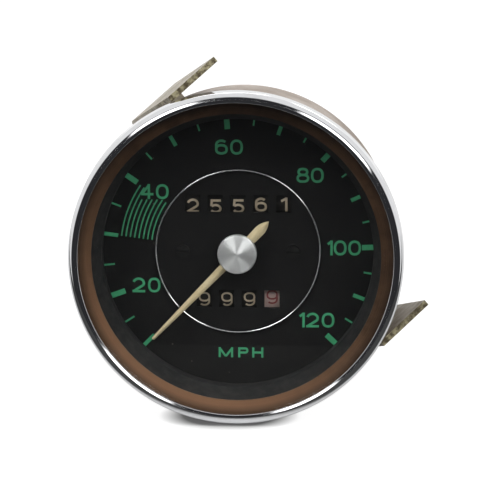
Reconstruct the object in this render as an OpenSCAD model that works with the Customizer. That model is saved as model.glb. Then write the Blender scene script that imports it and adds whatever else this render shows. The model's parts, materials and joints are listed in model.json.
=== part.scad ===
// Round mechanical speedometer for a dashboard, with odometer, trip counter and U bracket.
// Built about its own axis: x right, y up, z towards the driver, z = 0 on the dash seat.
// The finished part faces -Y with Z up.

/* [Case] */
// Outer radius of the can
can_r = 49.5; // [47:0.1:54]
// Sheet thickness of the can
can_wall = 0.8; // [0.6:0.1:1.2]
// Depth of the can behind the dash seat
can_depth = 50; // [48:0.5:60]
// Radius of the can's rear corner
can_corner = 3.5; // [2:0.25:5]

/* [Bezel and glass] */
// How far the bezel stands out past the can
bezel_step = 3.7; // [3.5:0.1:6]
// Depth of the bezel in front of the dash seat
bezel_depth = 10.5; // [9:0.1:12]
// Sheet thickness of the bezel
bezel_sheet = 0.6; // [0.4:0.05:0.8]
// Radius of the bezel's rounded front edge
bezel_round = 2.2; // [1.6:0.1:2.4]
// How far the bezel's rear edge tucks in behind its widest part
bezel_tuck = 0.7; // [0.4:0.1:0.9]
// Radial width of the bezel seen from the front
lip_width = 3.4; // [3.2:0.05:4.2]
// Thickness of the glass
glass_t = 2; // [1.5:0.1:2.4]
// Thickness of the rubber gasket behind the glass
gasket_t = 0.8; // [0.5:0.1:1.2]

/* [Rings and dial] */
// Thickness of the sloping mask ring
mask_t = 0.6; // [0.4:0.1:1]
// Radial width of the mask ring seen inside the bezel
mask_step = 3.85; // [3:0.05:4.5]
// Depth of the slope of the mask ring
mask_drop = 1; // [0.5:0.1:1.6]
// Radial width of the dial surround seen inside the mask ring
surround_step = 2.5; // [1.5:0.05:3.5]
// How far the dial face lies behind the dash seat
dial_back = 7.6; // [6.5:0.1:9]
// Thickness of the dial plate
dial_t = 0.8; // [0.5:0.1:1.2]
// Middle radius of the bright ring on the dial
trim_r = 26.3; // [25:0.1:29]
// Width of the bright ring on the dial
trim_w = 1; // [0.6:0.1:1.6]
// Distance of each dial screw from the axis
dial_screw_x = 17.7; // [16.5:0.1:20]

/* [Pointer] */
// Gap from the pointer's tip to the dial surround
needle_gap = 4.15; // [2:0.05:8]
// Length of the pointer's tail
needle_tail = 14.4; // [11:0.1:18]
// Width of the pointer beside the hub
needle_w = 3; // [2:0.1:4]
// Width of the pointer at the tip
needle_tip_w = 1; // [0.6:0.1:1.6]
// Thickness of the pointer
needle_t = 0.8; // [0.5:0.1:1.2]
// Angle of the pointer at rest, from the right hand side
needle_angle = 226; // [200:1:250]
// Radius of the hub cap
hub_r = 6.3; // [5:0.1:8]
// Height of the hub cap
hub_h = 2.8; // [2:0.1:4]

/* [Counters] */
// Radius of the number drums as a share of the can's depth
drum_share = 0.196; // [0.18:0.002:0.204]
// Distance from one drum to the next
drum_pitch = 7.3; // [7:0.1:7.8]
// Free space between two drums
drum_space = 1; // [0.9:0.05:1.6]
// Height of the odometer and depth of the trip counter, from the axis
counter_y = 15.5; // [15.2:0.1:16.5]
// Height of a counter window
window_h = 5.6; // [4:0.1:7]
// Width of a counter window
window_w = 4.9; // [4:0.1:5.4]

/* [Drive] */
// Radius of the threaded cable connector
connector_r = 9; // [8:0.25:10]
// Length of the connector behind the can
connector_len = 14; // [12:0.5:16]
// Radius of the drive magnet
magnet_r = 9.8; // [8:0.1:10.6]
// Side of the square socket for the cable
socket_side = 2.6; // [2:0.1:3]

/* [Bracket] */
// Width of the strap
strap_w = 20; // [16:0.5:24]
// Thickness of the strap
strap_t = 1.9; // [1.2:0.1:2.4]
// Gap between the can and a bracket leg
leg_gap = 1.4; // [1.2:0.1:3]
// Distance of the strap behind the dash seat
strap_back = 69; // [66:0.5:76]
// Tilt of the loose bracket at rest
strap_tilt = 21; // [0:1:30]
// Turn of the bracket about the gauge's axis
strap_turn = 49; // [40:1:52]
// Radius of the mounting studs
stud_r = 2.5; // [2:0.1:3]
// Distance of each stud from the axis
stud_at = 28; // [26.5:0.25:30]

/* [Hidden] */
$fn = 96;
fine = 0.01;
run_gap = 0.05;
move_gap = 0.4;
cut = 1;

// radii of the stacked rings
bezel_r = can_r + bezel_step;
lip_r = bezel_r - lip_width;
mask_r = lip_r - mask_step;
surround_r = mask_r - surround_step;
needle_len = surround_r - needle_gap;
tuck_r = bezel_r - bezel_tuck;
bezel_in = tuck_r - bezel_sheet;
ring_r = bezel_in - move_gap;
crimp_r = can_r + move_gap;
lip_sheet = bezel_sheet + 0.3;
lip_bevel = 0.9;
lip_slope = 0.25;
can_in = can_r - can_wall;

// the bezel's section: a front rounding and a belly, joined by the line that touches both
belly_round = 1.6;
belly_z = 3.7;
flank_lean = 0.34;
front_at = [bezel_r - flank_lean - bezel_round, bezel_depth - bezel_round];
belly_at = [bezel_r - belly_round, belly_z];
flank_run = belly_at - front_at;
flank_angle = atan2(flank_run[1], flank_run[0]) + acos((bezel_round - belly_round) / norm(flank_run));
flank_out = [cos(flank_angle), sin(flank_angle)];

// heights of the stacked rings, from the seat forward
flange_z = bezel_sheet;
flange_top = flange_z + can_wall;
glass_front = bezel_depth - lip_sheet;
glass_z = glass_front - glass_t;
gasket_z = glass_z - gasket_t;
mask_z = gasket_z - mask_t;
mask_flat_r = lip_r + 0.4;
mask_in_z = mask_z - mask_drop;
surround_z = -2.2;
surround_lip = 0.9;

// dial and pointer
dial_z = -dial_back;
dial_rear = dial_z - dial_t;
dial_r = can_in - 2.5;
trim_h = 0.8;
screw_r = 1.3;
screw_head_r = 2.1;
screw_head_h = 0.9;
staff_r = 1;
hub_z = dial_z + 4.2;
needle_z = hub_z - needle_t;
pivot_r = 0.6;
pivot_len = 1.6;
neck_r = 2;
tail_w = 3.4;
hub_cone = 0.8;
hub_edge = 0.5;

// the movement's gears grow and shrink with the can's depth
gear_share = 0.012;
worm_share = 0.01;

// counters behind the dial
drum_r = can_depth * drum_share;
drum_w = drum_pitch - drum_space;
drum_gap = 0.7;
axle_r = 1.5;
axle_z = dial_rear - drum_gap - drum_r;
drum_rear = axle_z - drum_r;
odo_n = 5;
trip_n = 4;
odo_half = (odo_n - 1) / 2 * drum_pitch + drum_w / 2;
trip_half = (trip_n - 1) / 2 * drum_pitch + drum_w / 2;
drum_wall = 1.1;
drum_hub = 3.2;
drum_web = 1.2;
bar_r = 1;
bar_gap = 0.7;
bar_off = (drum_r + bar_r + bar_gap) * sqrt(0.5);
plate_t = 0.4;
plate_w = 3;
plate_r = 4.6;

// gears
gear_m = can_depth * gear_share;
gear_w = 2.2;
gear_hub_len = 0.75;
gear_x = odo_half + gear_hub_len + gear_w / 2;
drum_teeth = 30;
idle_teeth = 29;
gear_axle_gap = gear_m * (drum_teeth + idle_teeth) / 2;
gear_hub_r = 4;
worm_m = can_depth * worm_share;
worm_pitch = PI * worm_m;
worm_turns = 4;
worm_core = 4.4 * worm_m;
worm_ecc = 0.9 * worm_m;
worm_sides = 14;
worm_steps = 12;
wheel_teeth = 14;
wheel_w = 3.2 * worm_m;
wheel_tip = worm_m * (wheel_teeth / 2 + 0.9);
worm_gap = worm_m * (wheel_teeth / 2 + 0.4) + worm_core;
shaft_r = 1.2;
lay_z = axle_z - gear_axle_gap;
cross_z = lay_z - worm_gap;
post_w = 5;
post_t = 2.5;
cross_room = 2.3;
cross_end = counter_y + worm_turns * worm_pitch / 2 + cross_room + post_t;

// trip reset
crown_teeth = 20;
pinion_teeth = 10;
crown_r = gear_m * crown_teeth / 2;
crown_room = 4.4;
crown_t = 1.2;
crown_x = -trip_half - crown_room - crown_t;
crown_h = gear_m * 7 / 3;
crown_face = gear_m * 5 / 3;
pinion_x = crown_x - gear_m * (1.5 + pinion_teeth / 2);
pinion_tip = gear_m * (pinion_teeth / 2 + 0.9);
pinion_z = axle_z - crown_r + 2 * gear_m;
pinion_w = 4 * gear_m;
reset_r = 1.5;
knob_r = 4.5;
knob_h = 6;
knob_gap = 2.5;
knob_z = -can_depth - knob_gap;

// movement frame
plate_z = cross_z - wheel_tip - move_gap;
plate_rear = -can_depth + can_wall;
cheek_t = 1.6;
side_gap = 2;
plate_half = pinion_tip - pinion_x + side_gap + cheek_t / 2;
plate_edge = plate_half + cheek_t / 2;
cheek_rim = 2.4;
cheek_h = counter_y + bar_off + bar_r + cheek_rim;
bridge_gap = 1.2;
bridge_h = counter_y - drum_r - bridge_gap;
bridge_t = 2;
post_x = -12.75;
frame_screw_at = 33;
frame_screw_r = 1.5;
frame_head_r = 2.7;
frame_head_h = 1.8;

// speed cup and drive
cup_room = 2.2;
cup_z = drum_rear - cup_room;
cup_t = 0.5;
cup_gap = 0.5;
cup_boss = 1.4;
cup_r = magnet_r + cup_gap + cup_t;
magnet_z = cup_z - cup_t - cup_gap;
magnet_gap = 0.8;
magnet_h = magnet_z - cross_z - wheel_tip - magnet_gap;
cup_depth = cup_t + magnet_h;
drive_r = 4 * worm_m;
drive_wall = 0.9;
drive_tail_r = socket_side * sqrt(0.5) + drive_wall;
drive_step = plate_z + run_gap;
bush_wall = 2;
bush_r = drive_tail_r + bush_wall;
spigot_wall = 1.6;
spigot_r = bush_r + spigot_wall;
connector_flange = 4;
connector_flange_r = connector_r + connector_flange;
connector_flange_t = 2.5;
connector_end = -can_depth - connector_len;
ferrule_len = 4;
bush_end = connector_end + ferrule_len;
drive_end = bush_end + cup_gap;
socket_depth = 8;
groove_w = 1;
groove_d = 0.8;

// hairspring
spring_drop = 2;
spring_z = dial_rear - bridge_t - spring_drop;
spring_in = 2.4;
spring_pitch = 0.6;
spring_turns = 3;
spring_t = 0.2;
spring_h = 0.5;
spring_step = 15;
anchor_w = 1.2;
anchor_x = spring_in + spring_pitch * spring_turns + spring_t * 1.5;

// lamps
lamp_x = (plate_edge + can_r - can_corner) / 2;
lamp_flange_r = (can_r - can_corner - plate_edge) / 2 - fine;
lamp_body_r = lamp_flange_r * 0.72;
lamp_flange_t = 2;
lamp_in = 4;
bulb_r = lamp_body_r * 0.78;
bulb_foot_r = bulb_r * 0.76;
bulb_foot = 3;
bulb_len = 14;
spade_w = 6.3;
spade_t = 0.8;
spade_len = 7.5;

// bracket, studs and nuts
leg_in = can_r + leg_gap;
leg_short = 1;
strap_off = 1.6;
strap_slip = 0.6;
leg_len = strap_back - leg_short;
bend_r = 4;
eye_gap = 3.6;
eye_r = connector_r + eye_gap;
eye_rim = 5.4;
stud_hole_r = stud_r * 1.35 + move_gap;
collar_r = 4.6;
collar_h = 3;
stud_in = (plate_z - plate_rear) * 0.72;
nut_r = 7;
nut_h = 5;
nut_gap = 6.6;
nut_z = -strap_back - nut_gap;
stud_tip = 3;
stud_end = nut_z - nut_h - stud_tip;
knurl_n = 28;
knurl_r = 0.35;

// the gauge's own axes turned into the part's frame
module place() {
  rotate([90, 0, 0]) children();
}

// a solid of revolution about the gauge's axis
module turned() {
  rotate_extrude() children();
}

// a round bar along the axis, from one height to a lower one
module bar(r, top, bottom) {
  translate([0, 0, bottom]) cylinder(r = r, h = top - bottom);
}

// a round bar along x
module bar_x(r, from, to) {
  translate([from, 0, 0]) rotate([0, 90, 0]) cylinder(r = r, h = to - from);
}

// a round bar along y
module bar_y(r, from, to) {
  translate([0, from, 0]) rotate([-90, 0, 0]) cylinder(r = r, h = to - from);
}

// outline of a spur gear with a tooth on the x axis
module gear_outline(teeth, m, thin) {
  pitch = 360 / teeth;
  r = m * teeth / 2;
  tip = r + m * 0.9;
  root = r - m * 1.15;
  half = pitch * thin / 2;
  tip_half = half - atan(m * 0.9 * tan(20) / r);
  root_half = half + atan(m * 1.15 * tan(20) / r);
  polygon([for (k = [0 : teeth - 1], s = [0 : 3])
    let (a = k * pitch + [-root_half, -tip_half, tip_half, root_half][s],
         q = (s == 0 || s == 3) ? root : tip)
    [q * cos(a), q * sin(a)]]);
}

// a spur gear about x, centred, with a bore
module gear_x_axis(teeth, m, thin, w, bore, turn) {
  rotate([0, 90, 0]) rotate([0, 0, turn]) linear_extrude(height = w, center = true) difference() {
    gear_outline(teeth, m, thin);
    circle(r = bore);
  }
}

// a single start worm along z, its groove open towards the given angle at mid length
module worm(open) {
  rotate([0, 0, open]) linear_extrude(height = worm_turns * worm_pitch, center = true,
      twist = -360 * worm_turns, slices = worm_turns * worm_steps, $fn = worm_sides)
    polygon([for (k = [0 : worm_sides - 1]) let (a = 360 * k / worm_sides)
      [worm_core * cos(a) - worm_ecc, worm_core * sin(a)]]);
}

// outline of a shallow pot with a rounded rear corner
module pot_outline(r, depth, corner, top) {
  translate([0, -depth]) square([r - corner, depth + top]);
  translate([0, corner - depth]) square([r, depth - corner + top]);
  translate([r - corner, corner - depth]) circle(r = corner);
}

// the mounting line joining the two studs
module along_studs() {
  rotate([0, 0, 180 - strap_turn]) children();
}

// the line square to the studs
module across_studs() {
  rotate([0, 0, 90 - strap_turn]) children();
}

// drawn steel can with a front flange and a drilled back
module case_can() {
  color("Tan") place() difference() {
    turned() intersection() {
      difference() {
        union() {
          pot_outline(can_r, can_depth, can_corner, flange_z);
          translate([0, flange_z]) square([ring_r, can_wall]);
        }
        pot_outline(can_in, can_depth - can_wall, can_corner - can_wall, flange_top + cut);
      }
      translate([0, -can_depth - cut]) square([bezel_r, can_depth + bezel_depth]);
    }
    bar(spigot_r + run_gap, plate_rear + cut, -can_depth - cut);
    for (s = [-1, 1]) translate([s * lamp_x, 0, 0]) bar(lamp_body_r, plate_rear + cut, -can_depth - cut);
    along_studs() for (s = [-1, 1]) translate([s * stud_at, 0, 0])
      bar(stud_r + run_gap, plate_rear + cut, -can_depth - cut);
    across_studs() for (s = [-1, 1]) translate([s * frame_screw_at, 0, 0])
      bar(frame_screw_r + run_gap, plate_rear + cut, -can_depth - cut);
    translate([pinion_x, -counter_y, 0]) bar(reset_r + move_gap, plate_rear + cut, -can_depth - cut);
  }
}

// chromed sheet ring, rolled in over the glass and crimped behind the can's flange
module bezel_ring() {
  color("Silver") place() turned() difference() {
    union() {
      polygon([[lip_r, 0], [tuck_r, 0], [tuck_r, belly_at[1]], belly_at + belly_round * flank_out,
               front_at + bezel_round * flank_out, [front_at[0], bezel_depth], [lip_r, bezel_depth]]);
      translate(front_at) circle(r = bezel_round);
      translate(belly_at) circle(r = belly_round);
    }
    translate([0, bezel_sheet]) square([bezel_in, glass_z - bezel_sheet]);
    translate([0, bezel_sheet]) square([ring_r, glass_front - bezel_sheet]);
    translate([0, -cut]) square([crimp_r, bezel_depth / 2]);
    translate([0, -cut]) square([lip_r, bezel_depth + 2 * cut]);
    polygon([[lip_r - cut, bezel_depth - (lip_bevel + cut) * lip_slope],
             [lip_r + lip_bevel, bezel_depth], [lip_r + lip_bevel, bezel_depth + cut],
             [lip_r - cut, bezel_depth + cut]]);
  }
}

module glass_lens() {
  color("LightCyan", 0.3) place() translate([0, 0, glass_z]) cylinder(r = ring_r, h = glass_t);
}

module lens_gasket() {
  color("DimGray") place() turned()
    translate([mask_flat_r, gasket_z]) square([ring_r - mask_flat_r, gasket_t]);
}

// sloping ring behind the glass
module mask_ring() {
  color("SaddleBrown") place() turned() polygon([[ring_r, mask_z], [ring_r, gasket_z],
    [mask_flat_r, gasket_z], [mask_r, gasket_z - mask_drop],
    [mask_r, mask_in_z], [mask_flat_r, mask_z]]);
}

// moulded ring leading from the mask back towards the dial
module dial_surround() {
  slope_r = mask_r + 0.35;
  color("DimGray") place() turned() polygon([[ring_r, flange_top], [ring_r, mask_z],
    [mask_flat_r, mask_z], [slope_r, mask_z - mask_drop * (mask_flat_r - slope_r) / (mask_flat_r - mask_r)],
    [surround_r, surround_z], [surround_r, dial_z], [surround_r + surround_lip, dial_z],
    [surround_r + surround_lip, surround_z], [can_in - move_gap, flange_top]]);
}

// windows of one counter
module counter_windows(n, y) {
  for (k = [0 : n - 1]) translate([(k - (n - 1) / 2) * drum_pitch, y, dial_rear - cut])
    translate([-window_w / 2, -window_h / 2, 0]) cube([window_w, window_h, dial_t + 2 * cut]);
}

module dial_plate() {
  color("Black") place() difference() {
    translate([0, 0, dial_rear]) cylinder(r = dial_r, h = dial_t);
    bar(staff_r + move_gap, dial_z + cut, dial_rear - cut);
    for (s = [-1, 1])
      translate([s * dial_screw_x, 0, 0]) bar(screw_r + run_gap, dial_z + cut, dial_rear - cut);
    counter_windows(odo_n, counter_y);
    counter_windows(trip_n, -counter_y);
  }
}

module dial_trim_ring() {
  color("Silver") place() turned()
    translate([trim_r - trim_w / 2, dial_z]) difference() {
      square([trim_w, trim_h]);
      translate([0, trim_h]) rotate(45) square(trim_w * 0.3, center = true);
      translate([trim_w, trim_h]) rotate(45) square(trim_w * 0.3, center = true);
    }
}

module dial_screws() {
  color("Black") place() for (s = [-1, 1]) translate([s * dial_screw_x, 0, 0]) difference() {
    union() {
      bar(screw_head_r, dial_z + screw_head_h, dial_z);
      bar(screw_r, dial_z, dial_rear - bridge_t);
    }
    translate([0, 0, dial_z + screw_head_h])
      cube([screw_head_r * 3, screw_head_r * 0.25, screw_head_h], center = true);
  }
}

// bearing block standing on the rear plate
module post(x, y, wx, wy, top) {
  translate([x - wx / 2, y - wy / 2, plate_z - fine]) cube([wx, wy, top - plate_z + fine]);
}

// cast frame carrying the counters, the gears and the dial
module movement_frame() {
  color("LightSlateGray") place() difference() {
    union() {
      translate([-plate_half - cheek_t / 2, -cheek_h, plate_rear])
        cube([2 * plate_half + cheek_t, 2 * cheek_h, plate_z - plate_rear]);
      for (s = [-1, 1]) translate([s * plate_half - cheek_t / 2, -cheek_h, plate_z - fine])
        cube([cheek_t, 2 * cheek_h, dial_rear - plate_z + fine]);
      translate([-plate_half, -bridge_h, dial_rear - bridge_t])
        cube([2 * plate_half, 2 * bridge_h, bridge_t]);
      for (s = [-1, 1]) {
        post(worm_gap, s * (cross_end - post_t / 2), post_w, post_t, cross_z + post_w / 2);
        post(post_x, s * counter_y, post_t, post_w, lay_z + post_w / 2);
      }
      translate([anchor_x, -anchor_w / 2, spring_z - spring_h / 2])
        cube([anchor_w, anchor_w, dial_rear - spring_z + spring_h / 2 - bridge_t + fine]);
    }
    bar(spigot_r, plate_z + cut, plate_rear - cut);
    bar(staff_r + run_gap, dial_rear + cut, dial_rear - bridge_t - cut);
    for (s = [-1, 1])
      translate([s * dial_screw_x, 0, 0]) bar(screw_r, dial_rear + cut, dial_rear - bridge_t - cut);
    along_studs() for (s = [-1, 1])
      translate([s * stud_at, 0, 0]) bar(stud_r, plate_rear + stud_in, plate_rear - cut);
    across_studs() for (s = [-1, 1]) translate([s * frame_screw_at, 0, 0])
      bar(frame_screw_r, plate_rear + stud_in, plate_rear - cut);
    translate([pinion_x, -counter_y, 0]) bar(reset_r + run_gap, plate_z + cut, plate_rear - cut);
    for (s = [-1, 1]) {
      translate([0, s * counter_y, lay_z]) bar_x(shaft_r + run_gap, post_x - post_w, plate_half + cut * 2);
      translate([worm_gap, 0, cross_z]) bar_y(shaft_r + run_gap, -cross_end - cut, cross_end + cut);
      translate([0, s * (counter_y + bar_off), axle_z - bar_off]) bar_x(bar_r, -plate_half - cut * 2, 0);
    }
    translate([0, counter_y, axle_z]) bar_x(axle_r, -plate_half - cut * 2, plate_half + cut * 2);
    translate([0, -counter_y, axle_z]) bar_x(axle_r + run_gap, -plate_half - cut * 2, plate_half + cut * 2);
  }
}

// screws holding the frame to the back of the can
module movement_screws() {
  color("Gray") place() across_studs() for (s = [-1, 1]) translate([s * frame_screw_at, 0, 0])
    difference() {
      union() {
        bar(frame_screw_r, plate_rear + stud_in, -can_depth);
        bar(frame_head_r, -can_depth, -can_depth - frame_head_h);
      }
      translate([0, 0, -can_depth - frame_head_h])
        cube([frame_head_r * 3, frame_head_r * 0.25, frame_head_h], center = true);
    }
}

// tapered blade with a pointed tail
module needle() {
  color("Wheat") place() rotate([0, 0, needle_angle]) translate([0, 0, needle_z])
    linear_extrude(height = needle_t) difference() {
      polygon([[0, needle_w / 2], [needle_len, needle_tip_w / 2], [needle_len, -needle_tip_w / 2],
        [0, -needle_w / 2], [-needle_tail * 0.45, -tail_w / 2], [-needle_tail * 0.75, -tail_w * 0.36],
        [-needle_tail, 0], [-needle_tail * 0.75, tail_w * 0.36], [-needle_tail * 0.45, tail_w / 2]]);
      circle(r = staff_r);
    }
}

// spun cap over the hub
module needle_hub_cap() {
  foot_h = hub_h - hub_cone;
  color("Silver") place() difference() {
    union() {
      bar(hub_r, hub_z + foot_h - hub_edge, hub_z);
      bar(hub_r - hub_edge, hub_z + foot_h, hub_z);
      translate([0, 0, hub_z + foot_h - hub_edge]) turned()
        intersection() {
          translate([hub_r - hub_edge, 0]) circle(r = hub_edge);
          translate([hub_r - hub_edge - fine, 0]) square([hub_edge + cut, hub_edge]);
        }
      translate([0, 0, hub_z + foot_h - fine])
        cylinder(r1 = hub_r - hub_edge, r2 = hub_edge / 4, h = hub_cone + fine);
    }
    bar(staff_r, hub_z + hub_h / 2, hub_z - cut);
  }
}

// thin staff from the hub back to the speed cup
module needle_staff() {
  color("Silver") place() {
    bar(staff_r, hub_z + hub_h / 2, cup_z - cup_t);
    bar(neck_r, needle_z, dial_z + move_gap);
    bar(pivot_r, cup_z - cup_t + fine, magnet_z - pivot_len);
  }
}

// thin aluminium cup that the turning magnet drags round
module speed_cup() {
  color("Gainsboro") place() difference() {
    union() {
      bar(cup_r, cup_z, cup_z - cup_depth);
      bar(staff_r + cup_boss, cup_z + cup_boss, cup_z - cup_t);
    }
    bar(cup_r - cup_t, cup_z - cup_t, cup_z - cup_depth - cut);
    bar(staff_r, cup_z + cup_boss + cut, cup_z - cup_t - cut);
  }
}

// point of a flat spiral after a turn of a degrees from radius r
function spiral_at(a, r) = (r + spring_pitch * a / 360) * [cos(a), sin(a)];

// flat spiral that returns the pointer
module hair_spring() {
  n = spring_turns * 360 / spring_step;
  color("DarkGoldenrod") place() translate([0, 0, spring_z - spring_h / 2]) linear_extrude(height = spring_h)
    polygon(concat(
      [for (k = [0 : n]) spiral_at(k * spring_step, spring_in)],
      [for (k = [n : -1 : 0]) spiral_at(k * spring_step, spring_in + spring_t)]));
}

// worm shaft turned by the cable
module drive_shaft() {
  color("Silver") place() difference() {
    union() {
      bar(drive_r, magnet_z, drive_step);
      bar(drive_tail_r, drive_step, drive_end);
      translate([0, 0, cross_z]) worm(0);
    }
    bar(pivot_r + run_gap, magnet_z + cut, magnet_z - pivot_len - move_gap);
    translate([-socket_side / 2, -socket_side / 2, drive_end - cut])
      cube([socket_side, socket_side, socket_depth + cut]);
  }
}

module drive_magnet() {
  color("DarkSlateGray") place() difference() {
    bar(magnet_r, magnet_z, magnet_z - magnet_h);
    bar(drive_r, magnet_z + cut, magnet_z - magnet_h - cut);
  }
}

module drive_bush() {
  color("Peru") place() difference() {
    bar(bush_r, plate_z, bush_end);
    bar(drive_tail_r + run_gap, plate_z + cut, bush_end - cut);
  }
}

// cast nose with the cable thread, flanged against the can
module cable_connector() {
  color("Gainsboro") place() difference() {
    union() {
      bar(spigot_r, plate_z, -can_depth - fine);
      bar(connector_flange_r, -can_depth, -can_depth - connector_flange_t);
      bar(connector_r, -can_depth - connector_flange_t + fine, connector_end);
    }
    bar(bush_r, plate_z + cut, connector_end - cut);
    translate([0, 0, -can_depth - connector_flange_t - groove_w]) difference() {
      cylinder(r = connector_r + cut, h = groove_w);
      translate([0, 0, -cut]) cylinder(r = connector_r - groove_d, h = groove_w + 2 * cut);
    }
  }
}

// upright shaft with a worm for each counter
module cross_shaft() {
  color("Silver") place() translate([worm_gap, 0, cross_z]) {
    bar_y(shaft_r, -cross_end, cross_end);
    for (s = [-1, 1]) translate([0, s * counter_y, 0]) rotate([-90, 0, 0]) worm(-90);
  }
}

module cross_wheel() {
  color("Peru") place() translate([worm_gap, 0, cross_z]) rotate([-90, 0, 0]) rotate([0, 0, 180])
    linear_extrude(height = wheel_w, center = true) difference() {
      gear_outline(wheel_teeth, worm_m, 0.34);
      circle(r = shaft_r);
    }
}

// parts of one reduction, above (s = 1) or below (s = -1) the axis
module layshaft(s) {
  color("Silver") place() translate([0, s * counter_y, lay_z])
    bar_x(shaft_r, post_x - post_t / 2, plate_half + cheek_t / 2);
}

module worm_wheel(s) {
  color("Peru") place() translate([worm_gap, s * counter_y, lay_z])
    gear_x_axis(wheel_teeth, worm_m, 0.34, wheel_w, shaft_r, 0);
}

module idler(s) {
  color("Peru") place() translate([gear_x, s * counter_y, lay_z])
    gear_x_axis(idle_teeth, gear_m, 0.42, gear_w, shaft_r, 180);
}

module odometer_layshaft() { layshaft(1); }
module odometer_worm_wheel() { worm_wheel(1); }
module odometer_idler() { idler(1); }
module trip_layshaft() { layshaft(-1); }
module trip_worm_wheel() { worm_wheel(-1); }
module trip_idler() { idler(-1); }

// one hollow number drum, counted from the left
module drum(n, k, y) {
  color("Black") place() translate([(k - (n + 1) / 2) * drum_pitch, y, axle_z]) difference() {
    bar_x(drum_r, -drum_w / 2, drum_w / 2);
    for (s = [-1, 1]) difference() {
      bar_x(drum_r - drum_wall, s > 0 ? drum_web / 2 : -drum_w, s > 0 ? drum_w : -drum_web / 2);
      bar_x(drum_hub, -drum_w - cut, drum_w + cut);
    }
    bar_x(axle_r + run_gap, -drum_w, drum_w);
  }
}

module odometer_drum_1() { drum(odo_n, 1, counter_y); }
module odometer_drum_2() { drum(odo_n, 2, counter_y); }
module odometer_drum_3() { drum(odo_n, 3, counter_y); }
module odometer_drum_4() { drum(odo_n, 4, counter_y); }
module odometer_drum_5() { drum(odo_n, 5, counter_y); }
module trip_drum_1() { drum(trip_n, 1, -counter_y); }
module trip_drum_2() { drum(trip_n, 2, -counter_y); }
module trip_drum_3() { drum(trip_n, 3, -counter_y); }
module trip_drum_4() { drum(trip_n, 4, -counter_y); }

// gear that turns the last drum of a counter, joined to it by a hub
module drum_gear(n, s) {
  last = n == odo_n ? odo_half : trip_half;
  color("Peru") place() translate([0, s * counter_y, axle_z]) {
    translate([gear_x, 0, 0])
      gear_x_axis(drum_teeth, gear_m, 0.42, gear_w, axle_r + run_gap, 180 / drum_teeth);
    difference() {
      bar_x(gear_hub_r, last, gear_x - gear_w / 2 + fine);
      bar_x(axle_r + run_gap, last - cut, gear_x);
    }
  }
}

module odometer_gear() { drum_gear(odo_n, 1); }
module trip_gear() { drum_gear(trip_n, -1); }

// thin plates between the drums, on one bar fixed in the frame
module carrier_plates(n, s, bore) {
  tail_len = bar_off / sqrt(0.5);
  color("Gainsboro") place() translate([0, s * counter_y, axle_z]) {
    translate([0, s * bar_off, -bar_off]) bar_x(bar_r, -plate_half - cheek_t / 2, (n - 1) / 2 * drum_pitch);
    for (k = [1 : n - 1]) translate([(k - n / 2) * drum_pitch, 0, 0]) difference() {
      union() {
        bar_x(plate_r, -plate_t / 2, plate_t / 2);
        rotate([-s * 45, 0, 0]) translate([-plate_t / 2, s > 0 ? 0 : -tail_len, -plate_w / 2])
          cube([plate_t, tail_len, plate_w]);
      }
      bar_x(bore, -cut, cut);
    }
  }
}

module odometer_plates() { carrier_plates(odo_n, 1, axle_r); }
module trip_plates() { carrier_plates(trip_n, -1, axle_r + run_gap); }

module odometer_axle() {
  color("Silver") place() translate([0, counter_y, axle_z])
    bar_x(axle_r, -plate_half - cheek_t / 2, plate_half + cheek_t / 2);
}

module trip_axle() {
  color("Silver") place() translate([0, -counter_y, axle_z])
    bar_x(axle_r, -plate_half - cheek_t / 2, plate_half + cheek_t / 2);
}

// wheel with teeth on its face, fixed on the trip axle
module trip_crown_wheel() {
  tooth = gear_m * PI * 0.32;
  color("Peru") place() translate([0, -counter_y, axle_z]) difference() {
    union() {
      bar_x(crown_r + crown_face / 2, crown_x, crown_x + crown_t);
      for (k = [0 : crown_teeth - 1]) rotate([k * 360 / crown_teeth + 180 / crown_teeth, 0, 0])
        translate([crown_x + fine, 0, -crown_r - crown_face / 2]) linear_extrude(height = crown_face)
          polygon([[0, tooth * 0.9], [-crown_h, tooth * 0.4], [-crown_h, -tooth * 0.4], [0, -tooth * 0.9]]);
    }
    bar_x(axle_r, crown_x - crown_h - cut, crown_x + crown_t + cut);
  }
}

// reset spindle with its pinion
module reset_shaft() {
  color("Silver") place() translate([pinion_x, -counter_y, 0]) {
    bar(reset_r, pinion_z, knob_z - knob_h / 2);
    translate([0, 0, pinion_z - pinion_w]) linear_extrude(height = pinion_w)
      gear_outline(pinion_teeth, gear_m, 0.36);
  }
}

module knurled(r, h) {
  difference() {
    cylinder(r = r, h = h);
    for (k = [0 : knurl_n - 1]) rotate([0, 0, k * 360 / knurl_n]) translate([r + knurl_r / 2, 0, -cut])
      cylinder(r = knurl_r, h = h + 2 * cut, $fn = 16);
  }
}

module reset_knob() {
  color("Black") place() translate([pinion_x, -counter_y, knob_z - knob_h]) difference() {
    knurled(knob_r, knob_h);
    translate([0, 0, knob_h / 2]) cylinder(r = reset_r, h = knob_h);
  }
}

// push-in holders with a blade contact
module lamp_holders() {
  color("DarkKhaki") place() for (s = [-1, 1]) translate([s * lamp_x, 0, 0]) difference() {
    union() {
      bar(lamp_body_r, -can_depth + lamp_in, -can_depth - fine);
      bar(lamp_flange_r, -can_depth, -can_depth - lamp_flange_t);
      translate([-spade_t / 2, -spade_w / 2, -can_depth - lamp_flange_t - spade_len])
        cube([spade_t, spade_w, spade_len + fine]);
    }
    bar(bulb_foot_r, -can_depth + lamp_in + cut, -can_depth + lamp_in - bulb_foot);
  }
}

module lamp_bulbs() {
  color("LightYellow", 0.6) place() for (s = [-1, 1]) translate([s * lamp_x, 0, 0]) {
    bar(bulb_foot_r, -can_depth + lamp_in + fine, -can_depth + lamp_in - bulb_foot);
    bar(bulb_r, -can_depth + lamp_in + bulb_len - bulb_r, -can_depth + lamp_in);
    translate([0, 0, -can_depth + lamp_in + bulb_len - bulb_r]) sphere(r = bulb_r);
  }
}

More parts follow.
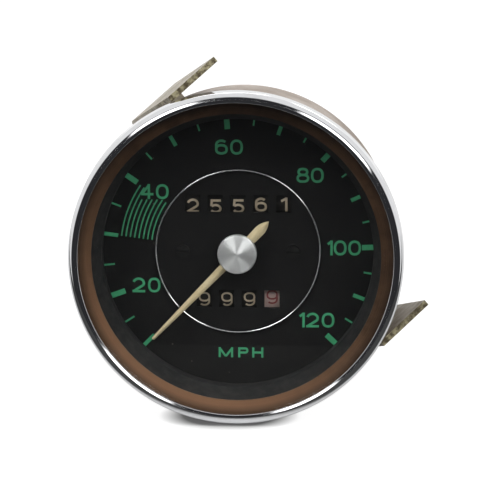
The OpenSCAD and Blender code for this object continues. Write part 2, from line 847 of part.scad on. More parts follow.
// long studs with a collar against the can
module mounting_studs() {
  color("Gray") place() along_studs() for (s = [-1, 1]) translate([s * stud_at, 0, 0]) {
    bar(stud_r, plate_rear + stud_in, stud_end);
    translate([0, 0, -can_depth - collar_h]) cylinder(r = collar_r, h = collar_h, $fn = 6);
  }
}

// half the outline of the U strap, bent at the foot of the leg
module strap_half() {
  difference() {
    union() {
      square([leg_in + strap_t - bend_r, strap_t]);
      translate([leg_in, bend_r]) square([strap_t, leg_len - bend_r]);
      intersection() {
        translate([leg_in + strap_t - bend_r, bend_r]) circle(r = bend_r);
        translate([leg_in + strap_t - bend_r, 0]) square(bend_r);
      }
    }
    translate([leg_in + strap_t - bend_r, bend_r]) circle(r = bend_r - strap_t);
  }
}

// loose U strap that pulls the bezel against the dash
module bracket() {
  color("Silver") place() translate([0, 0, -strap_back]) along_studs() rotate([strap_tilt, 0, 0])
    difference() {
      union() {
        translate([-strap_slip, strap_w / 2 - strap_off, -strap_t / 2]) rotate([90, 0, 0])
          linear_extrude(height = strap_w) for (s = [0, 1]) mirror([s, 0]) strap_half();
        translate([0, 0, -strap_t / 2]) cylinder(r = eye_r + eye_rim, h = strap_t);
      }
      translate([0, 0, -strap_t]) cylinder(r = eye_r, h = 2 * strap_t);
      for (s = [-1, 1]) translate([s * stud_at, 0, -strap_t]) cylinder(r = stud_hole_r, h = 2 * strap_t);
    }
}

// one knurled nut on a stud
module stud_nut(s) {
  color("Gray") place() along_studs() translate([s * stud_at, 0, nut_z - nut_h]) difference() {
    knurled(nut_r, nut_h);
    translate([0, 0, -cut]) cylinder(r = stud_r + run_gap, h = nut_h + 2 * cut);
  }
}

module nut_upper() { stud_nut(1); }
module nut_lower() { stud_nut(-1); }

case_can();
bezel_ring();
glass_lens();
lens_gasket();
mask_ring();
dial_surround();
dial_plate();
dial_trim_ring();
dial_screws();
movement_frame();
movement_screws();
needle();
needle_hub_cap();
needle_staff();
speed_cup();
hair_spring();
drive_shaft();
drive_magnet();
drive_bush();
cable_connector();
cross_shaft();
cross_wheel();
odometer_layshaft();
odometer_worm_wheel();
odometer_idler();
odometer_axle();
odometer_drum_1();
odometer_drum_2();
odometer_drum_3();
odometer_drum_4();
odometer_drum_5();
odometer_gear();
odometer_plates();
trip_layshaft();
trip_worm_wheel();
trip_idler();
trip_axle();
trip_crown_wheel();
trip_drum_1();
trip_drum_2();
trip_drum_3();
trip_drum_4();
trip_gear();
trip_plates();
reset_shaft();
reset_knob();
lamp_holders();
lamp_bulbs();
mounting_studs();
bracket();
nut_upper();
nut_lower();
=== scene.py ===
# %% [markdown]
# # Dressing a vintage speedometer
#
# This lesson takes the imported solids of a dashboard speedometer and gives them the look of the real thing.
# The solids are the fixed frame: they bring the sizes, the places and the joints. Everything that is added
# here rides on one of their bodies, so the gauge still moves. First the frame is loaded and its box is kept.

# %% load the frame
import json
import bmesh
import bpy
import numpy as np
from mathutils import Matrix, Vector


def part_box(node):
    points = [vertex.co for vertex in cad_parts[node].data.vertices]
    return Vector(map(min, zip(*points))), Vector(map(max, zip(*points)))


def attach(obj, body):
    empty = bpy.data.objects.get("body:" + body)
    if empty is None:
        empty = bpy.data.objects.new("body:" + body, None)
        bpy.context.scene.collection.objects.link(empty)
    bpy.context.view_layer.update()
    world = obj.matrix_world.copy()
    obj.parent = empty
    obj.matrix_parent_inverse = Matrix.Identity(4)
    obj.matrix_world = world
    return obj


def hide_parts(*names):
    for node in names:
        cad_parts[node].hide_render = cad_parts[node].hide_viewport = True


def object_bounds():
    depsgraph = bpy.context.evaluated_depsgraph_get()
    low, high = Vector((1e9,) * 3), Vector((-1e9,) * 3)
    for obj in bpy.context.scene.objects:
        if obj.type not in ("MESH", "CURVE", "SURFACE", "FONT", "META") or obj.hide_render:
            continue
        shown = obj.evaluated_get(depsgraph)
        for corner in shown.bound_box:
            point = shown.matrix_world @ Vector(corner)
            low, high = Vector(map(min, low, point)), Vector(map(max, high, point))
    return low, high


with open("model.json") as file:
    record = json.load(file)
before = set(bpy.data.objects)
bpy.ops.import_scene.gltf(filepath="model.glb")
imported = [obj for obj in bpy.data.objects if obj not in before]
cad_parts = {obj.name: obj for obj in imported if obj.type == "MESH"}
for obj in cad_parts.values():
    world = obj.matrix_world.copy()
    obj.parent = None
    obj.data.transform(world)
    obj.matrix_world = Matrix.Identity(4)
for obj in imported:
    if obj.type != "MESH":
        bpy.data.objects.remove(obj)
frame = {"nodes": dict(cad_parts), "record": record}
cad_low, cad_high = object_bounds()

# %% [markdown]
# ## The gauge's own axes
#
# A gauge is designed about its axis: x to the right, y up the dial and z out towards the driver, in
# millimetres, with z = 0 on the face that meets the dash. The scene is in metres and has z up, so one small
# function carries points over. It is a quarter turn about x, which keeps every face pointing outwards.

# %% gauge axes
MM = 0.001


def to_scene(points):
    """Turns gauge points (x, y, z) in millimetres into scene points (x, -z, y) in metres."""
    return np.stack([points[..., 0], -points[..., 2], points[..., 1]], axis=-1) * MM


def gauge_box(node):
    """Lowest and highest corner of a CAD node, in the gauge's axes and in millimetres."""
    low, high = (np.array(corner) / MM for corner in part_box(node))
    return np.array([low[0], low[2], -high[1]]), np.array([high[0], high[2], -low[1]])


print("dial plate, mm", *(corner.round(2) for corner in gauge_box("dial_plate")))

# %% [markdown]
# ## From a grid of points to a piece
#
# Every new piece is a surface: a function of two parameters, worked out on a grid as one numpy array. The
# faces are the little squares between neighbouring grid points. A grid may wrap round in either direction,
# as a ring does. Points that fall together, at a pole or a seam, are merged, so each piece is closed.
# The volume that is printed for a piece is positive only if its faces point outwards.

# %% grids and pieces
SHARP_EDGE = np.radians(38)
MERGE_DISTANCE = 2e-8


def grid_faces(rows, cols, wrap_rows=False, wrap_cols=False):
    """Four-cornered faces between neighbours of a rows by cols grid, wrapped round where asked."""
    i = np.arange(rows if wrap_rows else rows - 1)[:, None]
    j = np.arange(cols if wrap_cols else cols - 1)[None, :]
    up, right = (i + 1) % rows, (j + 1) % cols
    corners = [i * cols + j, i * cols + right, up * cols + right, up * cols + j]
    return np.stack(np.broadcast_arrays(*corners), axis=-1).reshape(-1, 4)


def gather(shapes):
    """Puts several (points, faces) shapes into one, shifting each shape's face numbers past the last."""
    counts = [len(points) for points, faces in shapes]
    starts = np.cumsum([0] + counts[:-1])
    points = np.concatenate([points for points, faces in shapes])
    faces = np.concatenate([faces + start for (_, faces), start in zip(shapes, starts)])
    return points, faces


def volume_of(points, faces):
    """Volume inside a closed shape: the sum of the tetrahedra from the origin to every half face."""
    a, b, c, d = (points[faces[:, k]] for k in range(4))
    halves = np.einsum("ij,ij->i", a, np.cross(b, c)) + np.einsum("ij,ij->i", a, np.cross(c, d))
    return halves.sum() / 6


def make_piece(name, shape, material, body, stands_for=()):
    """Builds a mesh object from a gauge shape, merges its doubles and sets it riding on a body."""
    points, faces = shape
    mesh = bpy.data.meshes.new(name)
    mesh.from_pydata(to_scene(points).tolist(), [], faces.tolist())
    work = bmesh.new()
    work.from_mesh(mesh)
    bmesh.ops.remove_doubles(work, verts=work.verts, dist=MERGE_DISTANCE)
    work.to_mesh(mesh)
    work.free()
    mesh.shade_smooth()
    mesh.set_sharp_from_angle(angle=SHARP_EDGE)
    mesh.materials.append(material)
    piece = bpy.data.objects.new(name, mesh)
    bpy.context.scene.collection.objects.link(piece)
    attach(piece, body)
    if stands_for:
        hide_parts(*stands_for)
    print(f"{name}: {len(mesh.polygons)} faces, {volume_of(points, faces):.2f} mm3, rides on {body}")


# %% [markdown]
# ## Small tools for shader nodes
#
# A material is a little network. A few helpers keep it readable: they add a node with its values and links,
# reckon with numbers and vectors, or start a node group with named sockets. A Mix node has sockets for
# numbers and for colours under the same names, so its colour sockets are picked by their place. A group is an
# effect that many materials share, such as grain or edge wear. It only hands out masks and heights. The
# shader itself stays in the material.

# %% node helpers
MIX_FIRST, MIX_SECOND, MIX_RESULT = 6, 7, 2


def put(tree, kind, inputs=None, **settings):
    """Adds one shader node, with its settings and the values or links of its inputs."""
    node = tree.nodes.new("ShaderNode" + kind)
    for key, value in settings.items():
        setattr(node, key, value)
    for key, value in (inputs or {}).items():
        if isinstance(value, bpy.types.NodeSocket):
            tree.links.new(value, node.inputs[key])
        else:
            node.inputs[key].default_value = value
    return node


def put_group(tree, group, **inputs):
    """Places a shared effect in a material with its own values, and gives its output."""
    node = tree.nodes.new("ShaderNodeGroup")
    node.node_tree = group
    for key, value in inputs.items():
        node.inputs[key.replace("_", " ")].default_value = value
    return node.outputs[0]


def start_group(name, inputs, outputs):
    """Starts a node group: inputs are (name, socket kind, value), outputs are (name, socket kind)."""
    group = bpy.data.node_groups.new(name, "ShaderNodeTree")
    for label, kind, value in inputs:
        socket = group.interface.new_socket(label, in_out="INPUT", socket_type="NodeSocket" + kind)
        socket.default_value = value
    for label, kind in outputs:
        group.interface.new_socket(label, in_out="OUTPUT", socket_type="NodeSocket" + kind)
    print("shared effect:", name)
    return group, group.nodes.new("NodeGroupInput").outputs, group.nodes.new("NodeGroupOutput").inputs


def blend_colour(tree, share, first, second):
    """Colour between two colours, or colour sockets, by a share from 0 to 1."""
    node = put(tree, "Mix", {0: share, MIX_FIRST: first, MIX_SECOND: second}, data_type="RGBA")
    return node.outputs[MIX_RESULT]


def between(tree, value, low, high, to_low=0.0, to_high=1.0):
    """Stretches a value's span from low to high over another span, clamped at both ends."""
    node = put(tree, "MapRange", {0: value, 1: low, 2: high, 3: to_low, 4: to_high})
    return node.outputs[0]


def reckon(tree, operation, *values):
    """One step of arithmetic on numbers or sockets."""
    return put(tree, "Math", dict(enumerate(values)), operation=operation).outputs[0]


def vector(tree, operation, *values):
    """One step of vector arithmetic that gives a vector."""
    return put(tree, "VectorMath", dict(enumerate(values)), operation=operation).outputs["Vector"]


def measure(tree, operation, *values):
    """One step of vector arithmetic that gives a number: DOT_PRODUCT, LENGTH or DISTANCE."""
    return put(tree, "VectorMath", dict(enumerate(values)), operation=operation).outputs["Value"]


def place_on(tree):
    """Place on the piece, in the piece's own coordinates."""
    return put(tree, "TexCoord").outputs["Object"]


def off_axis(tree):
    """Place on the piece as seen along the gauge's axis, which is y: the depth is left out."""
    return vector(tree, "MULTIPLY", place_on(tree), (1, 0, 1))


# %% [markdown]
# ## Shared surface effects
#
# Old instruments share the same signs of age. *Patches* are cloudy changes of tone in paint and plating.
# *Grain* is the fine roughness of cast, moulded or painted faces. *Edge wear* finds edges by comparing the
# true normal with one that a bevel would give. *Specks* are grains of dust, and *turned rings* are the fine
# circles that a lathe or a spinning buff leaves. All of them read object coordinates, so they stay put when
# the piece moves.

# %% patches
def make_patches():
    """Cloudy noise, stretched along the axes, with its contrast set by two levels."""
    group, given, out = start_group(
        "patches",
        [("Scale", "Float", 100.0), ("Stretch", "Vector", (1, 1, 1)),
         ("Low", "Float", 0.35), ("High", "Float", 0.65)],
        [("Share", "Float")])
    drawn = vector(group, "MULTIPLY", place_on(group), given["Stretch"])
    cloud = put(group, "TexNoise", {"Vector": drawn, "Scale": given["Scale"],
                                    "Detail": 6.0, "Roughness": 0.62})
    group.links.new(between(group, cloud.outputs[0], given["Low"], given["High"]), out["Share"])
    return group


PATCHES = make_patches()


# %% grain
def make_grain():
    """Fine even noise, as a height for bump and a share for colour."""
    group, given, out = start_group("grain", [("Scale", "Float", 2500.0)], [("Height", "Float")])
    fine = put(group, "TexNoise", {"Vector": place_on(group), "Scale": given["Scale"],
                                   "Detail": 3.0, "Roughness": 0.55})
    group.links.new(fine.outputs[0], out["Height"])
    return group


GRAIN = make_grain()


# %% edge wear
def make_edge_wear():
    """Where a bevelled normal leaves the true one there is an edge, broken up here by noise."""
    group, given, out = start_group(
        "edge wear",
        [("Radius", "Float", 0.0004), ("Scale", "Float", 700.0), ("Amount", "Float", 1.0)],
        [("Share", "Float")])
    soft = put(group, "Bevel", {"Radius": given["Radius"]}, samples=6).outputs[0]
    true = put(group, "NewGeometry").outputs["Normal"]
    edge = between(group, measure(group, "DOT_PRODUCT", soft, true), 0.99, 0.80)
    rough = put(group, "TexNoise", {"Vector": place_on(group), "Scale": given["Scale"], "Detail": 4.0})
    broken = reckon(group, "MULTIPLY", edge, between(group, rough.outputs[0], 0.36, 0.60))
    group.links.new(reckon(group, "MULTIPLY", broken, given["Amount"]), out["Share"])
    return group


EDGE_WEAR = make_edge_wear()


# %% specks
def make_specks():
    """Round grains: the middle of a few cells of a cell pattern, picked by each cell's random colour."""
    group, given, out = start_group(
        "specks",
        [("Scale", "Float", 900.0), ("Size", "Float", 0.16), ("Share kept", "Float", 0.2)],
        [("Share", "Float")])
    cells = put(group, "TexVoronoi", {"Vector": place_on(group), "Scale": given["Scale"]}).outputs
    near = reckon(group, "LESS_THAN", cells["Distance"], given["Size"])
    lot = put(group, "SeparateColor", {0: cells["Color"]}).outputs[0]
    picked = reckon(group, "LESS_THAN", lot, given["Share kept"])
    group.links.new(reckon(group, "MULTIPLY", near, picked), out["Share"])
    return group


SPECKS = make_specks()


# %% turned rings
def make_turned_rings():
    """Noise that depends only on the distance from the gauge's axis, so it draws fine circles."""
    group, given, out = start_group("turned rings", [("Rings", "Float", 9000.0)], [("Share", "Float")])
    away = measure(group, "LENGTH", off_axis(group))
    rings = put(group, "TexNoise", {"W": away, "Scale": given["Rings"], "Detail": 4.0},
                noise_dimensions="1D")
    group.links.new(rings.outputs[0], out["Share"])
    return group


TURNED_RINGS = make_turned_rings()

# %% [markdown]
# ## One recipe for weathered finishes
#
# Paint, plating, rubber and castings differ in colour and gloss but age alike, so one recipe builds them:
# two tones of the same finish in cloudy patches, a worn tone along the edges, a film of dust and fine
# grain in the relief. Each finish of the gauge is then one entry of named values in a table.

# %% weathered recipe
DUST = (0.30, 0.28, 0.25, 1)
GRAIN_DEPTH = 0.00003
FILM_FINER = 3.1


def plain_material(name, roughness, metallic=0.0):
    """A new material with its node tree and its Principled shader."""
    material = bpy.data.materials.new(name)
    material.use_nodes = True
    shader = material.node_tree.nodes["Principled BSDF"]
    shader.inputs["Roughness"].default_value = roughness
    shader.inputs["Metallic"].default_value = metallic
    print(f"finish {name}: roughness from {roughness}, metallic {metallic}")
    return material, material.node_tree, shader.inputs


def add_relief(tree, inputs, height, strength):
    """Tilts the shader's normal by the slope of a height."""
    bump = put(tree, "Bump", {"Height": height, "Strength": strength, "Distance": GRAIN_DEPTH})
    tree.links.new(bump.outputs[0], inputs["Normal"])


def weathered(name, tones, gloss, metallic=0.0, patch=90.0, stretch=(1, 1, 1), worn=None, dust=0.0,
              grain=2500.0, relief=0.25, shine=0.5):
    """Two tones in patches, a span of roughness, worn edges (colour, width in m), dust and grain."""
    material, tree, inputs = plain_material(name, gloss[0], metallic)
    inputs["Specular IOR Level"].default_value = shine
    cloud = put_group(tree, PATCHES, Scale=patch, Stretch=stretch, Low=0.36, High=0.64)
    colour = blend_colour(tree, cloud, (*tones[0], 1), (*tones[1], 1))
    if worn:
        edge = put_group(tree, EDGE_WEAR, Radius=worn[1], Scale=900.0, Amount=0.9)
        colour = blend_colour(tree, edge, colour, (*worn[0], 1))
    if dust:
        film = put_group(tree, PATCHES, Scale=patch * FILM_FINER, Low=0.42, High=0.80)
        grains = put_group(tree, SPECKS, Scale=1400.0, Size=0.2, Share_kept=0.10)
        share = reckon(tree, "MULTIPLY", reckon(tree, "MAXIMUM", film, grains), dust)
        colour = blend_colour(tree, share, colour, DUST)
    tree.links.new(colour, inputs["Base Color"])
    tree.links.new(between(tree, cloud, 0.0, 1.0, *gloss), inputs["Roughness"])
    add_relief(tree, inputs, put_group(tree, GRAIN, Scale=grain), relief)
    return material


def weather_all(recipes):
    """One weathered material for each entry of a table."""
    return {name: weathered(name, **values) for name, values in recipes.items()}


# %% [markdown]
# ## Finishes of the case and the dial
#
# The can is drawn steel with a thin tan coating that has rubbed through. Nuts and screws are plated steel,
# and the movement's frame is cast zinc. The surround of the dial is dead flat, so that it gives no glare.

# %% case and dial finishes
finish = weather_all({
    "case_finish": dict(
        tones=((0.245, 0.186, 0.138), (0.190, 0.141, 0.103)), gloss=(0.40, 0.55), metallic=0.2, patch=55.0,
        worn=((0.50, 0.45, 0.40), 0.0005), dust=0.25, relief=0.2),
    "nut_steel": dict(
        tones=((0.50, 0.46, 0.38), (0.36, 0.32, 0.25)), gloss=(0.30, 0.48), metallic=0.8, patch=300.0,
        worn=((0.62, 0.58, 0.50), 0.0003), dust=0.15),
    "screw_steel": dict(
        tones=((0.52, 0.50, 0.45), (0.40, 0.37, 0.31)), gloss=(0.28, 0.46), metallic=0.85, patch=320.0,
        worn=((0.62, 0.60, 0.55), 0.0002), dust=0.1),
    "cast_zinc": dict(
        tones=((0.46, 0.46, 0.45), (0.35, 0.35, 0.34)), gloss=(0.42, 0.60), metallic=0.75, patch=200.0,
        worn=((0.60, 0.60, 0.58), 0.0003), dust=0.15, grain=1800.0, relief=0.6),
    "surround_grey": dict(
        tones=((0.0130, 0.0135, 0.0138), (0.018, 0.018, 0.018)), gloss=(0.60, 0.75), patch=120.0,
        dust=0.06, grain=3200.0, relief=0.3, shine=0.1),
    "screw_black": dict(
        tones=((0.006, 0.006, 0.006), (0.010, 0.010, 0.0095)), gloss=(0.50, 0.65), patch=300.0, dust=0.03,
        shine=0.15),
    "gasket_rubber": dict(
        tones=((0.018, 0.018, 0.018), (0.03, 0.03, 0.03)), gloss=(0.70, 0.85), patch=200.0, relief=0.5),
    "knob_black": dict(
        tones=((0.014, 0.014, 0.014), (0.022, 0.022, 0.021)), gloss=(0.22, 0.40), patch=250.0,
        worn=((0.06, 0.058, 0.055), 0.0003), dust=0.12),
    "lamp_body": dict(
        tones=((0.30, 0.22, 0.12), (0.22, 0.155, 0.08)), gloss=(0.40, 0.55), patch=260.0,
        worn=((0.40, 0.32, 0.20), 0.0003), dust=0.15),
})

# %% [markdown]
# ## The bracket's two skins
#
# The bracket is cut from plated strip. Its broad faces keep the pale plating, but the cut ends and edges near
# the front take a dark mottled olive and brown, partly bare steel and partly painted shade. The network tells
# them apart by the way a face looks: a leg's broad face has one known direction, and the rest near the front
# is dark.

# %% bracket steel
LEG_FACE = (0.66, 0.0, -0.75)
LEG_FRONT = (0.045, 0.030)
LEG_TURN = (0.95, 0.85)


def make_bracket_steel():
    """Pale plating on the broad faces, mottled bare steel and painted shade on the edges, told apart by
    direction.
    """
    material, tree, inputs = plain_material("bracket_steel", 0.45, 0.4)
    cloud = put_group(tree, PATCHES, Scale=170.0, Low=0.36, High=0.64)
    plated = blend_colour(tree, cloud, (0.43, 0.385, 0.31, 1), (0.30, 0.26, 0.195, 1))
    spots = put_group(tree, PATCHES, Scale=620.0, Low=0.40, High=0.58)
    bare_and_shaded = blend_colour(tree, spots, (0.40, 0.36, 0.225, 1), (0.085, 0.066, 0.036, 1))
    # The dark mottled tone on faces near the front that don't face like the legs is partly bare steel and
    # partly painted shade.
    look = put(tree, "NewGeometry").outputs["True Normal"]
    broad = reckon(tree, "ABSOLUTE", measure(tree, "DOT_PRODUCT", look, LEG_FACE))
    depth = put(tree, "SeparateXYZ", {0: place_on(tree)}).outputs["Y"]
    elsewhere, front = between(tree, broad, *LEG_TURN), between(tree, depth, *LEG_FRONT)
    cut_and_shaded = reckon(tree, "MULTIPLY", elsewhere, front)
    tree.links.new(blend_colour(tree, cut_and_shaded, plated, bare_and_shaded), inputs["Base Color"])
    tree.links.new(between(tree, cloud, 0.0, 1.0, 0.36, 0.58), inputs["Roughness"])
    add_relief(tree, inputs, put_group(tree, GRAIN, Scale=1500.0), 0.5)
    return material


finish["bracket_steel"] = make_bracket_steel()

# %% [markdown]
# ## Finishes of the movement
#
# Behind the dial sits clockwork: brass wheels, ground steel shafts, a bronze hairspring and an iron magnet.
# They can be seen only with the can taken off, but pieces of the part may be reused apart, so they get the
# same care.

# %% movement finishes
finish.update(weather_all({
    "shaft_steel": dict(
        tones=((0.56, 0.56, 0.56), (0.47, 0.47, 0.46)), gloss=(0.18, 0.30), metallic=1.0, patch=400.0,
        stretch=(0.2, 1, 1), relief=0.1),
    "gear_brass": dict(
        tones=((0.66, 0.48, 0.20), (0.52, 0.36, 0.14)), gloss=(0.22, 0.38), metallic=1.0, patch=350.0,
        worn=((0.78, 0.62, 0.32), 0.0001), relief=0.15),
    "spring_bronze": dict(
        tones=((0.60, 0.38, 0.18), (0.48, 0.29, 0.13)), gloss=(0.2, 0.3), metallic=1.0, patch=500.0,
        relief=0.1),
    "magnet_iron": dict(
        tones=((0.07, 0.07, 0.075), (0.11, 0.10, 0.10)), gloss=(0.45, 0.6), metallic=0.6, patch=250.0,
        worn=((0.2, 0.2, 0.2), 0.0003), relief=0.4),
    "drum_black": dict(
        tones=((0.007, 0.0067, 0.0062), (0.011, 0.0098, 0.0085)), gloss=(0.5, 0.65), patch=300.0,
        dust=0.03, relief=0.3, shine=0.2),
    "drum_white": dict(
        tones=((0.46, 0.34, 0.30), (0.37, 0.27, 0.24)), gloss=(0.45, 0.6), patch=400.0, dust=0.08,
        relief=0.3),
    "pointer_cream": dict(
        tones=((0.68, 0.575, 0.36), (0.60, 0.49, 0.285)), gloss=(0.38, 0.52), patch=260.0,
        worn=((0.52, 0.42, 0.24), 0.0003), relief=0.35),
}))

# %% [markdown]
# ## Inks
#
# The scale is printed in a cool green and the counter drums in cream, or in red on a pale drum. Screen ink
# lies a hair above the surface and fades unevenly, so it takes the same recipe with very little contrast.

# %% inks
ink_green, ink_cream, ink_red = weather_all({
    "ink_green": dict(
        tones=((0.040, 0.315, 0.135), (0.055, 0.37, 0.175)), gloss=(0.45, 0.6), patch=400.0, dust=0.04,
        relief=0.2),
    "ink_cream": dict(
        tones=((0.60, 0.50, 0.36), (0.48, 0.39, 0.27)), gloss=(0.5, 0.6), patch=500.0, relief=0.2),
    "ink_red": dict(
        tones=((0.22, 0.035, 0.035), (0.15, 0.025, 0.028)), gloss=(0.5, 0.6), patch=500.0, relief=0.2),
}).values()

# %% [markdown]
# ## Mask paint and dial black
#
# Two faces fill most of the picture, so they have their own networks. The mask's brown paint has fine circles
# from the brush and cloudy patches. A painted light makes it lighter towards the lower left, by the place
# along one direction, and a painted shade darkens it under the rim, by the distance from the axis. The dial is
# flat black with faint clouds, fine tooth and a few pale grains of dust and chips.

# %% mask paint
PAINTED_LIGHT_SIDE, PAINTED_LIGHT_SPAN = (-0.5, 0, -0.866), (-0.004, 0.050)
RIM_SHADE_SPAN = (0.0476, 0.0496)


def make_mask_brown():
    """Brown paint with fine circles and cloudy patches, painted light on one side, painted shade under the
    rim.
    """
    material, tree, inputs = plain_material("mask_brown", 0.5)
    inputs["Specular IOR Level"].default_value = 0.12
    rings = put_group(tree, TURNED_RINGS, Rings=3500.0)
    cloud = put_group(tree, PATCHES, Scale=210.0, Stretch=(1, 0.3, 1), Low=0.34, High=0.68)
    colour = blend_colour(tree, cloud, (0.078, 0.042, 0.023, 1), (0.042, 0.023, 0.013, 1))
    brushed = between(tree, rings, 0.45, 0.75, 0.0, 0.45)
    colour = blend_colour(tree, brushed, colour, (0.105, 0.057, 0.032, 1))
    # Painted light: the paint is made lighter towards the lower left, standing in for light from the upper
    # right.
    towards_painted_light = measure(tree, "DOT_PRODUCT", place_on(tree), PAINTED_LIGHT_SIDE)
    painted_light = between(tree, towards_painted_light, *PAINTED_LIGHT_SPAN, 0.0, 0.75)
    colour = blend_colour(tree, painted_light, colour, (0.24, 0.127, 0.070, 1))
    # Painted shade: the paint is made darker near the rim, where the lip shades it.
    painted_rim_shade = between(tree, measure(tree, "LENGTH", off_axis(tree)), *RIM_SHADE_SPAN, 0.0, 0.7)
    colour = blend_colour(tree, painted_rim_shade, colour, (0.030, 0.019, 0.012, 1))
    edge = put_group(tree, EDGE_WEAR, Radius=0.0004, Scale=500.0, Amount=0.7)
    tree.links.new(blend_colour(tree, edge, colour, (0.07, 0.045, 0.03, 1)), inputs["Base Color"])
    tree.links.new(between(tree, cloud, 0.0, 1.0, 0.42, 0.62), inputs["Roughness"])
    add_relief(tree, inputs, put_group(tree, GRAIN, Scale=1600.0), 0.5)
    return material


finish["mask_brown"] = make_mask_brown()


# %% dial black
def make_dial_black():
    """Flat black with clouds, dust grains and a fine tooth."""
    material, tree, inputs = plain_material("dial_black", 0.7)
    inputs["Specular IOR Level"].default_value = 0.12
    cloud = put_group(tree, PATCHES, Scale=160.0, Low=0.3, High=0.7)
    colour = blend_colour(tree, cloud, (0.0085, 0.0085, 0.0085, 1), (0.0125, 0.0123, 0.012, 1))
    fine = put_group(tree, GRAIN, Scale=5200.0)
    tooth = between(tree, fine, 0.55, 0.85, 0.0, 0.2)
    colour = blend_colour(tree, tooth, colour, (0.035, 0.035, 0.034, 1))
    grains = put_group(tree, SPECKS, Scale=330.0, Size=0.075, Share_kept=0.07)
    faint = reckon(tree, "MULTIPLY", grains, 0.5)
    tree.links.new(blend_colour(tree, faint, colour, (0.22, 0.20, 0.18, 1)), inputs["Base Color"])
    tree.links.new(between(tree, cloud, 0.0, 1.0, 0.62, 0.78), inputs["Roughness"])
    add_relief(tree, inputs, fine, 0.12)
    return material


finish["dial_black"] = make_dial_black()

# %% [markdown]
# ## Chrome
#
# Chrome is almost a mirror, so it is made by what it reflects. What is left for the material is the cool
# tone of the plating, smudges that blur the mirror a little and tiny pits where the plating has failed.

# %% chrome
PIT_DULLS = 0.4


def make_chrome(name, smudge):
    """A metal mirror with cloudy smudges in its roughness and dark pits."""
    material, tree, inputs = plain_material(name, 0.05, 1.0)
    cloud = put_group(tree, PATCHES, Scale=140.0, Low=0.45, High=0.8)
    pits = put_group(tree, SPECKS, Scale=900.0, Size=0.10, Share_kept=0.05)
    tone = blend_colour(tree, cloud, (0.72, 0.725, 0.74, 1), (0.64, 0.64, 0.645, 1))
    tree.links.new(blend_colour(tree, pits, tone, (0.30, 0.28, 0.26, 1)), inputs["Base Color"])
    gloss = between(tree, cloud, 0.0, 1.0, 0.035, smudge)
    dull = reckon(tree, "MULTIPLY", pits, PIT_DULLS)
    tree.links.new(reckon(tree, "ADD", gloss, dull), inputs["Roughness"])
    return material


finish["bezel_chrome"] = make_chrome("bezel_chrome", 0.11)
finish["trim_chrome"] = make_chrome("trim_chrome", 0.20)

# %% [markdown]
# ## Spun aluminium
#
# A spun cap is covered in fine circles, so light smears across them into bright wedges that meet at the
# middle. The shader's anisotropy does this if it knows which way the light smears: straight out from the
# axis, so the place on the cap with its height left out, turned from the piece's space into the world's.

# %% spun aluminium
def make_spun_aluminium():
    """Brushed metal whose grain runs round the gauge's axis."""
    material, tree, inputs = plain_material("hub_aluminium", 0.3, 1.0)
    inputs["Anisotropic"].default_value = 0.87
    outwards = put(tree, "VectorTransform", {0: off_axis(tree)}, vector_type="VECTOR",
                   convert_from="OBJECT", convert_to="WORLD").outputs[0]
    tree.links.new(vector(tree, "NORMALIZE", outwards), inputs["Tangent"])
    rings = put_group(tree, TURNED_RINGS, Rings=7000.0)
    tone = blend_colour(tree, rings, (0.74, 0.745, 0.75, 1), (0.86, 0.86, 0.85, 1))
    tree.links.new(tone, inputs["Base Color"])
    tree.links.new(between(tree, rings, 0.3, 0.7, 0.36, 0.46), inputs["Roughness"])
    return material


finish["hub_aluminium"] = make_spun_aluminium()

# %% [markdown]
# ## Glass
#
# The lens and the bulbs are clear glass. A path tracer finds it hard to send lamp light through a pane, so
# shadow rays meet a plain transparent shader instead, and the dial is lit as it would be. Faint smudges
# change the gloss a little.

# %% glass
SMUDGE_DIMS = 0.985


def make_glass(name, tint):
    """Clear glass that lets shadow rays through, with faint smudges."""
    material, tree, inputs = plain_material(name, 0.0)
    inputs["Transmission Weight"].default_value = 1.0
    inputs["IOR"].default_value = 1.45
    cloud = put_group(tree, PATCHES, Scale=60.0, Low=0.45, High=0.9)
    dimmed = [SMUDGE_DIMS * value for value in tint]
    tree.links.new(blend_colour(tree, cloud, (*tint, 1), (*dimmed, 1)), inputs["Base Color"])
    tree.links.new(between(tree, cloud, 0.0, 1.0, 0.0, 0.02), inputs["Roughness"])
    shader = tree.nodes["Principled BSDF"].outputs[0]
    shadow = put(tree, "LightPath").outputs["Is Shadow Ray"]
    clear = put(tree, "BsdfTransparent").outputs[0]
    both = put(tree, "MixShader", {0: shadow, 1: shader, 2: clear}).outputs[0]
    tree.links.new(both, tree.nodes["Material Output"].inputs["Surface"])
    return material


finish["lens_glass"] = make_glass("lens_glass", (0.99, 1.0, 0.995))
finish["bulb_glass"] = make_glass("bulb_glass", (1.0, 0.97, 0.90))

# %% [markdown]
# ## Dressing the solids
#
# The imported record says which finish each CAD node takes, so one loop dresses them all. The last drum of the
# trip counter counts tenths. Such a drum is white with red figures, to be told apart, and this one has
# reddened with age. A finer piece that stands for a node takes that node's finish.

# %% dress the nodes
slot_of = {part["node"]: part["material_slot"] for part in frame["record"]["subparts"]}
for name, node in frame["nodes"].items():
    node.data.materials.clear()
    node.data.materials.append(finish[slot_of[name]])
print("dressed", len(slot_of), "nodes")


def make_finer(name, shape, body, node):
    """Builds a finer piece in the place of a CAD node, with the finish and slot of that node."""
    make_piece(name, shape, finish[slot_of[node]], body, [node])


# %% [markdown]
# ## Turned pieces: bezel, lens, trim ring and hub cap
#
# A turned piece is a profile swung round the axis: the first grid parameter runs along the profile and the
# second is the angle. The profile runs anticlockwise in the plane of radius and height, so faces look
# outwards. The bezel is thin sheet rolled over the glass: a shallow crest in front, a tight rounding at its
# outer edge, a flank that is nearly straight and a belly that tucks in behind. The crest mirrors the dark
# room and the box lights, and the flank mirrors the white walls, which draws the dark line with its short
# bright bars and the broad white band on real chrome.

# %% turning
TURN_STEPS = 240


